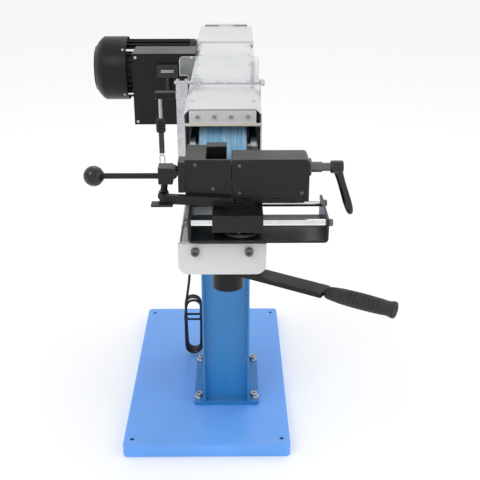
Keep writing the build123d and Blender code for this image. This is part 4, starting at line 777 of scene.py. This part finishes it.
# ---------------------------------------------------------------- belt drive
class NOTCHER_OT_belt(bpy.types.Operator):
    """Belt, rollers, tension yoke, spring and release lever"""
    bl_idname = "notcher.belt"
    bl_label = "Belt and rollers"

    def execute(self, context):
        sizes = context.scene.notcher_sizes
        dressed("abrasive_belt", "belt_cloth", None, 30)
        dressed("contact_shaft", "turned_steel", 0.0006)
        dressed("tension_yoke", "milled_steel", sizes.edge_round)
        dressed("yoke_guides", "milled_steel", sizes.edge_round)
        dressed("tension_lever", "zinc_sheet", 0.0006)
        for node, name in (("contact_roller", "contact_roller_tyre"), ("drive_roller", "drive_roller_tyre")):
            low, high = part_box(node)
            middle = (low + high) / 2
            radius = (high.z - low.z) / 2
            wide = high.x - low.x
            bore = 0.010 if node == "contact_roller" else 0.014
            profile = [(bore, 0), (bore + 0.008, 0), (bore + 0.009, 0.004), (radius - 0.011, 0.004),
                       (radius - 0.010, 0.0), (radius - 0.001, 0.0), (radius - 0.0003, 0.0012)]
            grooves = 12
            step = (wide - 0.0024) / grooves
            for number in range(grooves):
                start = 0.0012 + number * step
                profile += [(radius - 0.0003, start + step * 0.42), (radius - 0.0018, start + step * 0.5),
                            (radius - 0.0018, start + step * 0.62), (radius - 0.0003, start + step * 0.7)]
            profile += [(radius - 0.0003, wide - 0.0012), (radius - 0.001, wide), (radius - 0.010, wide),
                        (radius - 0.011, wide - 0.004), (bore + 0.009, wide - 0.004), (bore + 0.008, wide),
                        (bore, wide), (bore, 0)]
            bm = bmesh.new()
            add_turned(bm, profile, (low.x, middle.y, middle.z), "x", 72)
            piece(bm, name, "black_rubber", stands_for=(node,), smooth=30)
        # the coil itself
        low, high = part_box("tension_spring")
        middle = (low + high) / 2
        wire = 0.0016
        radius = (high.z - low.z) / 2 - wire
        bm = bmesh.new()
        start = []
        for number in range(8):
            a = 2 * pi * number / 8
            place = (middle.x, low.y + wire + wire * sin(a), middle.z + radius + wire * cos(a))
            start.append(bm.verts.new(place))
        face = bm.faces.new(start)
        length = high.y - low.y - 2 * wire
        steps = sizes.spring_turns * 24
        bmesh.ops.spin(bm, geom=[face], cent=middle, axis=(0, 1, 0), dvec=(0, length / steps, 0),
                       angle=2 * pi * sizes.spring_turns, steps=steps, use_merge=False)
        coil = piece(bm, "tension_coil", "dark_steel", stands_for=("tension_spring",))
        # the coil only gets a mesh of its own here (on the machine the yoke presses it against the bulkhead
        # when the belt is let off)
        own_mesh(coil)
        return {"FINISHED"}


# ---------------------------------------------------------------- motor
class NOTCHER_OT_motor(bpy.types.Operator):
    """Motor with its finned barrel, cowl and inner parts"""
    bl_idname = "notcher.motor"
    bl_label = "Motor"

    def execute(self, context):
        sizes = context.scene.notcher_sizes
        dressed("motor_frame", "black_texture", 0.0006)
        dressed("motor_flange", "black_texture", sizes.casting_round)
        dressed("motor_cowl", "black_gloss", 0.0006)
        dressed("motor_tie_rods", "chrome", 0.0004)
        dressed("motor_rotor", "turned_steel", 0.0006)
        dressed("motor_stator", "winding_iron", 0.0008)
        dressed("motor_fan", "case_plastic", 0.0006)
        low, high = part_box("motor_cowl")
        middle = (low + high) / 2
        bm = bmesh.new()
        # wire rings of the fan guard on the cowl's dished end
        for number in range(5):
            ring = 0.016 + number * 0.0125
            bow = 0.0012 + ring * ring * 0.35
            wire = [(ring + 0.0011 * cos(2 * pi * k / 8), 0.0011 * sin(2 * pi * k / 8)) for k in range(9)]
            add_turned(bm, wire, (low.x + bow, middle.y, middle.z), "-x", 40)
        piece(bm, "fan_guard_rings", "black_gloss", node="motor_cowl")
        bm = bmesh.new()
        for number in range(4):
            a = radians(45 + 90 * number)
            pan_head(bm, (high.x - 0.010, middle.y + 0.0955 * cos(a), middle.z + 0.0955 * sin(a)),
                     Matrix.Rotation(-(pi / 2 - a), 4, "X"), 0.004)
        piece(bm, "cowl_screws", "turned_steel", node="motor_cowl")
        return {"FINISHED"}


# ---------------------------------------------------------------- cabinet and switch
class NOTCHER_OT_cabinet(bpy.types.Operator):
    """Electrical cabinet with its lid and switch"""
    bl_idname = "notcher.cabinet"
    bl_label = "Cabinet and switch"

    def execute(self, context):
        sizes = context.scene.notcher_sizes
        dressed("cabinet_box", "black_gloss", sizes.casting_round)
        dressed("cabinet_lid", "black_gloss", 0.0006)
        dressed("switch_box", "case_plastic", 0.0008)
        dressed("switch_paddle", "switch_grey", 0.0008)
        low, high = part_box("cabinet_lid")
        bm = bmesh.new()
        for x in (low.x + 0.022, high.x - 0.022):
            for z in (low.z + 0.03, high.z - 0.03):
                add_box(bm, (x - 0.006, low.y - 0.0012, z - 0.0015), (x + 0.006, low.y + 0.0004, z + 0.0015))
        rim = bmesh.ops.create_grid(bm, x_segments=1, y_segments=1, size=0.5)
        wide, tall = (high.x - low.x) * 0.78, (high.z - low.z) * 0.30
        bmesh.ops.scale(bm, vec=(wide, tall, 1), verts=rim["verts"])
        inner = bmesh.ops.inset_individual(bm, faces=list({f for v in rim["verts"] for f in v.link_faces}),
                                           thickness=0.002, depth=0.0014)
        verts = list({v for f in inner["faces"] for v in f.verts} | set(rim["verts"]))
        place = Matrix.Translation(((low.x + high.x) / 2 - 0.012, low.y - 0.0002, low.z + 0.055))
        bmesh.ops.transform(bm, matrix=place @ Matrix.Rotation(pi / 2, 4, "X"), verts=verts)
        piece(bm, "lid_pressing", "black_gloss", node="cabinet_lid")
        return {"FINISHED"}


# ---------------------------------------------------------------- guard post, strap and shield
class NOTCHER_OT_guard(bpy.types.Operator):
    """Guard post, hanging strap and eye shield"""
    bl_idname = "notcher.guard"
    bl_label = "Guard and strap"

    def execute(self, context):
        dressed("guard_post", "zinc_sheet", 0.0005)
        dressed("shield_bracket", "zinc_sheet", 0.0005)
        dressed("shield_hinge", "zinc_sheet", 0.0006)
        dressed("shield_pane", "pane_clear", 0.0004)
        low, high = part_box("hanging_strap")
        x, y = -0.094, -0.322
        bm = bmesh.new()
        add_turned(bm, [(0, 0.0), (0.004, 0.0), (0.004, 0.058), (0.0, 0.058)], (x, y, 0.911), "z", 20)
        piece(bm, "strap_stem", "turned_steel", node="hanging_strap", edge=0.0004)
        bm = bmesh.new()
        add_box(bm, (low.x, low.y, 0.877), (x + 0.010, high.y, 0.911))
        bmesh.ops.bevel(bm, geom=[e for e in bm.edges], offset=0.0045, offset_type="OFFSET", affect="EDGES",
                        segments=4, profile=0.5, material=-1)
        for z in (0.885, 0.893, 0.901):
            rib = [(0.0, -0.001), (0.0114, -0.001), (0.0114, 0.001), (0.0, 0.001)]
            add_turned(bm, rib, (x - 0.0005, y, z), "z", 24)
        piece(bm, "strap_grip", "black_rubber", node="hanging_strap")
        bm = bmesh.new()
        for side in (-1, 1):
            add_box(bm, (x - 0.006, y + side * 0.00125 - 0.00115, 0.827),
                    (x + 0.006, y + side * 0.00125 + 0.00115, 0.879))
        upright = [e for e in bm.edges if abs((e.verts[0].co - e.verts[1].co).z) > 0.03]
        bmesh.ops.subdivide_edges(bm, edges=upright, cuts=10, use_grid_fill=True)
        for vert in bm.verts:
            t = (vert.co.z - 0.827) / 0.052
            vert.co.y += (0.0004 if vert.co.y > y else -0.0004) * sin(pi * t) * 2
        piece(bm, "strap_plies", "strap_weave", stands_for=("hanging_strap",), edge=0.0005)
        bm = bmesh.new()
        for z in (0.8735, 0.868, 0.838, 0.833):
            for number in range(6):
                left = x - 0.005 + number * 0.0018
                add_box(bm, (left, y - 0.0031, z - 0.0003), (left + 0.0012, y - 0.0022, z + 0.0003))
        piece(bm, "strap_stitches", "switch_grey", node="hanging_strap")
        self.link(x, y, 0.828, 0.0045, 0.0031, 0.0011, "strap_hook")
        self.link(x, y, 0.808, 0.009, 0.00575, 0.00135, "strap_ring")
        low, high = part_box("guard_post")
        bm = bmesh.new()
        add_box(bm, (low.x - 0.0003, y - 0.0123, 0.9587), (-0.0562, y + 0.0123, 0.9733))
        piece(bm, "hanger_cover", "black_texture", node="guard_post", edge=0.0012)
        return {"FINISHED"}

    def link(self, x, y, z, half, radius, wire, name):
        """An oval wire link in the XZ plane."""
        bm = bmesh.new()
        path = []
        for number in range(24):
            a = 2 * pi * number / 24
            path.append((x + radius * cos(a), y, z + radius * sin(a) + (half if sin(a) >= 0 else -half)))
        rings = []
        for number, place in enumerate(path):
            ahead = (Vector(path[(number + 1) % 24]) - Vector(path[number - 1])).normalized()
            turn = ahead.to_track_quat("Z", "Y").to_matrix().to_4x4()
            made = bmesh.ops.create_circle(bm, segments=10, radius=wire, cap_ends=False)["verts"]
            bmesh.ops.transform(bm, matrix=Matrix.Translation(place) @ turn, verts=made)
            rings.append(made)
        edges = [[e for e in bm.edges if all(vert in ring for vert in e.verts)] for ring in rings]
        for number in range(24):
            bmesh.ops.bridge_loops(bm, edges=edges[number] + edges[(number + 1) % 24])
        piece(bm, name, "turned_steel", node="hanging_strap")


# ---------------------------------------------------------------- feed slide and lever
class NOTCHER_OT_feed(bpy.types.Operator):
    """Feed rails, carriage, pinion, lever and grip"""
    bl_idname = "notcher.feed"
    bl_label = "Feed and lever"

    def execute(self, context):
        sizes = context.scene.notcher_sizes
        dressed("feed_rails", "milled_steel", sizes.edge_round)
        dressed("feed_carriage", "milled_steel", sizes.edge_round)
        dressed("feed_bearing", "vice_paint", sizes.casting_round)
        dressed("feed_pinion", "milled_steel", 0.0004)
        dressed("feed_lever", "black_gloss", sizes.casting_round)
        lean = Matrix.Rotation(radians(-32), 4, "Z") @ AXIS_TURN["x"]
        hub = Vector((0.062, -0.672, 0.6946))
        start = hub + Matrix.Rotation(radians(-32), 4, "Z") @ Vector((0.221, 0, 0))
        long = 0.140
        outer = 0.016
        profile = [(0.0082, 0), (0.0098, 0), (0.0108, 0.0015), (0.0122, 0.005), (0.0140, 0.020),
                   (0.0148, 0.030)]
        for number in range(sizes.grip_ribs):
            at = 0.034 + number * 0.074 / (sizes.grip_ribs - 1)
            swell = 0.0150 + 0.0008 * sin(pi * number / (sizes.grip_ribs - 1))
            profile += [(swell, at - 0.0030), (swell + 0.0002, at - 0.0012), (swell - 0.0007, at - 0.0004),
                        (swell - 0.0007, at + 0.0006), (swell + 0.0002, at + 0.0014)]
        profile += [(0.0146, 0.116), (0.0140, 0.123), (0.0146, 0.129), (outer, 0.134), (outer, long - 0.0025),
                    (outer * 0.93, long - 0.0006), (outer * 0.55, long), (outer * 0.5, long - 0.0015),
                    (0, long - 0.0015)]
        bm = bmesh.new()
        add_turned(bm, profile, start, lean, 48)
        piece(bm, "lever_grip_moulding", "black_rubber", stands_for=("feed_grip",), smooth=60)
        # hub cap under the lever
        bm = bmesh.new()
        add_turned(bm, [(0, 0.6529), (0.0265, 0.6529), (0.0280, 0.6543), (0.0280, 0.6570), (0.0, 0.6570)],
                   (hub.x, hub.y, 0), "z", 48)
        piece(bm, "lever_hub_cap", "dark_steel", node="feed_lever")
        return {"FINISHED"}


# ---------------------------------------------------------------- tray and cross carriage
class NOTCHER_OT_table(bpy.types.Operator):
    """Tray, guide rods, cross carriage and lock wheel"""
    bl_idname = "notcher.table"
    bl_label = "Cross table"

    def execute(self, context):
        sizes = context.scene.notcher_sizes
        dressed("slide_tray", "vice_paint", sizes.edge_round)
        dressed("guide_rods", "chrome", 0.0006)
        dressed("cross_carriage", "vice_paint", sizes.casting_round)
        dressed("carriage_bushes", "bush_bronze", 0.0004)
        low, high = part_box("guide_rods")
        bm = bmesh.new()
        head = [(0, 0), (0.0069, 0), (0.0069, 0.0072), (0.0060, 0.0084), (0.0036, 0.0084), (0.0036, 0.0060),
                (0, 0.0060)]
        for y in (low.y + 0.007, high.y - 0.007):
            add_turned(bm, head, (low.x + 0.008, y, GUIDE_Z), "-x", 28)
            add_turned(bm, head, (high.x - 0.008, y, GUIDE_Z), "x", 28)
        piece(bm, "rod_end_screws", "dark_steel", node="guide_rods")
        low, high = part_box("lock_wheel")
        cx = (low.x + high.x) / 2
        cy = (low.y + high.y) / 2
        radius = (high.x - low.x) / 2
        bm = bmesh.new()
        add_turned(bm, [(0, low.z), (radius - 0.002, low.z), (radius, low.z + 0.002),
                        (radius, low.z + 0.0052), (radius - 0.0016, low.z + 0.007),
                        (radius - 0.009, low.z + 0.007),
                        (radius - 0.011, low.z + 0.0055), (0.016, low.z + 0.0055), (0.013, low.z + 0.008),
                        (0.005, low.z + 0.009), (0.005, high.z), (0, high.z)], (cx, cy, 0), "z", 60)
        knob = [(0, 0.0), (0.0030, 0.0), (0.0026, 0.002), (0.0040, 0.0035), (0.0040, 0.0055),
                (0.0028, 0.0062), (0, 0.0062)]
        add_turned(bm, knob, (cx - 0.004, cy - radius + 0.007, low.z + 0.0058), "z", 24)
        piece(bm, "lock_wheel_moulding", "case_plastic", stands_for=("lock_wheel",), smooth=35)
        return {"FINISHED"}


# ---------------------------------------------------------------- vice
class NOTCHER_OT_vice(bpy.types.Operator):
    """Swivelling vice: base, jaws, clamp lever, screw and handle"""
    bl_idname = "notcher.vice"
    bl_label = "Pipe vice"

    def execute(self, context):
        sizes = context.scene.notcher_sizes
        dressed("vice_base", "vice_paint", sizes.casting_round)
        dressed("left_jaw", "vice_paint", sizes.casting_round)
        dressed("clamp_crank", "vice_paint", sizes.edge_round)
        dressed("jaw_housing", "vice_paint", sizes.casting_round)
        dressed("jaw_insert", "milled_steel", sizes.edge_round)
        dressed("spindle", "dark_steel", 0.0006)
        self.handle()
        low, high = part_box("lever_ball")
        middle = (low + high) / 2
        radius = (high.z - low.z) / 2
        bm = bmesh.new()
        profile = [(0, -radius)]
        profile += [(radius * sin(a), -radius * cos(a)) for a in (pi * k / 30 for k in range(1, 26))]
        profile += [(0.0085, radius * 0.905), (0.0085, radius * 0.965), (0.0058, radius * 0.965)]
        add_turned(bm, profile, middle, "x", 48)
        piece(bm, "lever_ball_moulding", "ball_plastic", stands_for=("lever_ball",), smooth=50)
        # collar where the spindle leaves its housing, screws on the jaws
        low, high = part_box("jaw_housing")
        y, z = SPINDLE_Y, SPINDLE_Z
        bm = bmesh.new()
        collar = [(0.0104, 0), (0.0165, 0), (0.0170, 0.0008), (0.0170, 0.0042), (0.0160, 0.005),
                  (0.0104, 0.005)]
        add_turned(bm, collar, (high.x, y, z), "x", 48)
        piece(bm, "screw_collar", "dark_steel", node="jaw_housing")
        bm = bmesh.new()
        for x, zz in ((0.085, 0.925), (0.085, 0.871), (0.203, 0.871)):
            screw_head(bm, (x, low.y, zz), "-y", 0.0034, 0.0018)
        piece(bm, "housing_screws", "dark_steel", node="jaw_housing")
        bm = bmesh.new()
        for x, zz in ((0.002, 0.9264), (0.035, 0.8794)):
            screw_head(bm, (x, low.y + 0.0022, zz), "-y", 0.0038, 0.0034)
        piece(bm, "jaw_screws", "dark_steel", node="left_jaw")
        return {"FINISHED"}

    def handle(self):
        """Ratchet handle: hub with its button, and a flattened arm."""
        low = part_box("spindle_handle")[0]
        y, z = SPINDLE_Y, SPINDLE_Z
        bm = bmesh.new()
        add_turned(bm, [(0.0081, 0), (0.0108, 0), (0.0118, 0.0012), (0.0125, 0.004), (0.0125, 0.020),
                        (0.0118, 0.0235), (0.0100, 0.0245), (0.0056, 0.0248), (0.0052, 0.0236), (0, 0.0236)],
                   (low.x, y, z), "x", 40)
        arm = Matrix.Rotation(radians(180 - 18), 4, "Y") @ Matrix.Diagonal((1, 0.78, 1, 1))
        add_turned(bm, [(0, -0.002), (0.0088, -0.002), (0.0090, 0.010), (0.0080, 0.020), (0.0076, 0.034),
                        (0.0080, 0.055), (0.0084, 0.072), (0.0080, 0.086), (0.0066, 0.095), (0.0040, 0.1008),
                        (0, 0.1022)], (low.x + 0.0125, y, z), arm, 32)
        piece(bm, "spindle_handle_moulding", "ball_plastic", stands_for=("spindle_handle",), smooth=60)


class NOTCHER_PT_panel(bpy.types.Panel):
    """Lists the notcher's sizes, colours and pieces"""
    bl_idname = "NOTCHER_PT_panel"
    bl_label = "Belt tube notcher"
    bl_space_type = "VIEW_3D"
    bl_region_type = "UI"
    bl_category = "Notcher"

    def draw(self, context):
        for group in (context.scene.notcher_sizes, context.scene.notcher_colours):
            for name in group.bl_rna.properties.keys():
                if name not in ("rna_type", "name"):
                    self.layout.prop(group, name)
        for operator in OPERATORS:
            self.layout.operator(operator.bl_idname)


OPERATORS = (NOTCHER_OT_stage, NOTCHER_OT_cord, NOTCHER_OT_pedestal, NOTCHER_OT_shell, NOTCHER_OT_belt,
             NOTCHER_OT_motor, NOTCHER_OT_cabinet, NOTCHER_OT_guard, NOTCHER_OT_feed, NOTCHER_OT_table,
             NOTCHER_OT_vice)
CLASSES = (NotcherSizes, NotcherColours, *OPERATORS, NOTCHER_PT_panel)


def register():
    for item in CLASSES:
        bpy.utils.register_class(item)
    bpy.types.Scene.notcher_sizes = PointerProperty(type=NotcherSizes)
    bpy.types.Scene.notcher_colours = PointerProperty(type=NotcherColours)


def unregister():
    del bpy.types.Scene.notcher_sizes
    del bpy.types.Scene.notcher_colours
    for item in reversed(CLASSES):
        bpy.utils.unregister_class(item)


def main():
    register()
    shared_groups()
    all_finishes(bpy.context.scene.notcher_colours)
    for operator in OPERATORS:
        group, name = operator.bl_idname.split(".")
        getattr(getattr(bpy.ops, group), name)()


if __name__ == "__main__":
    main()
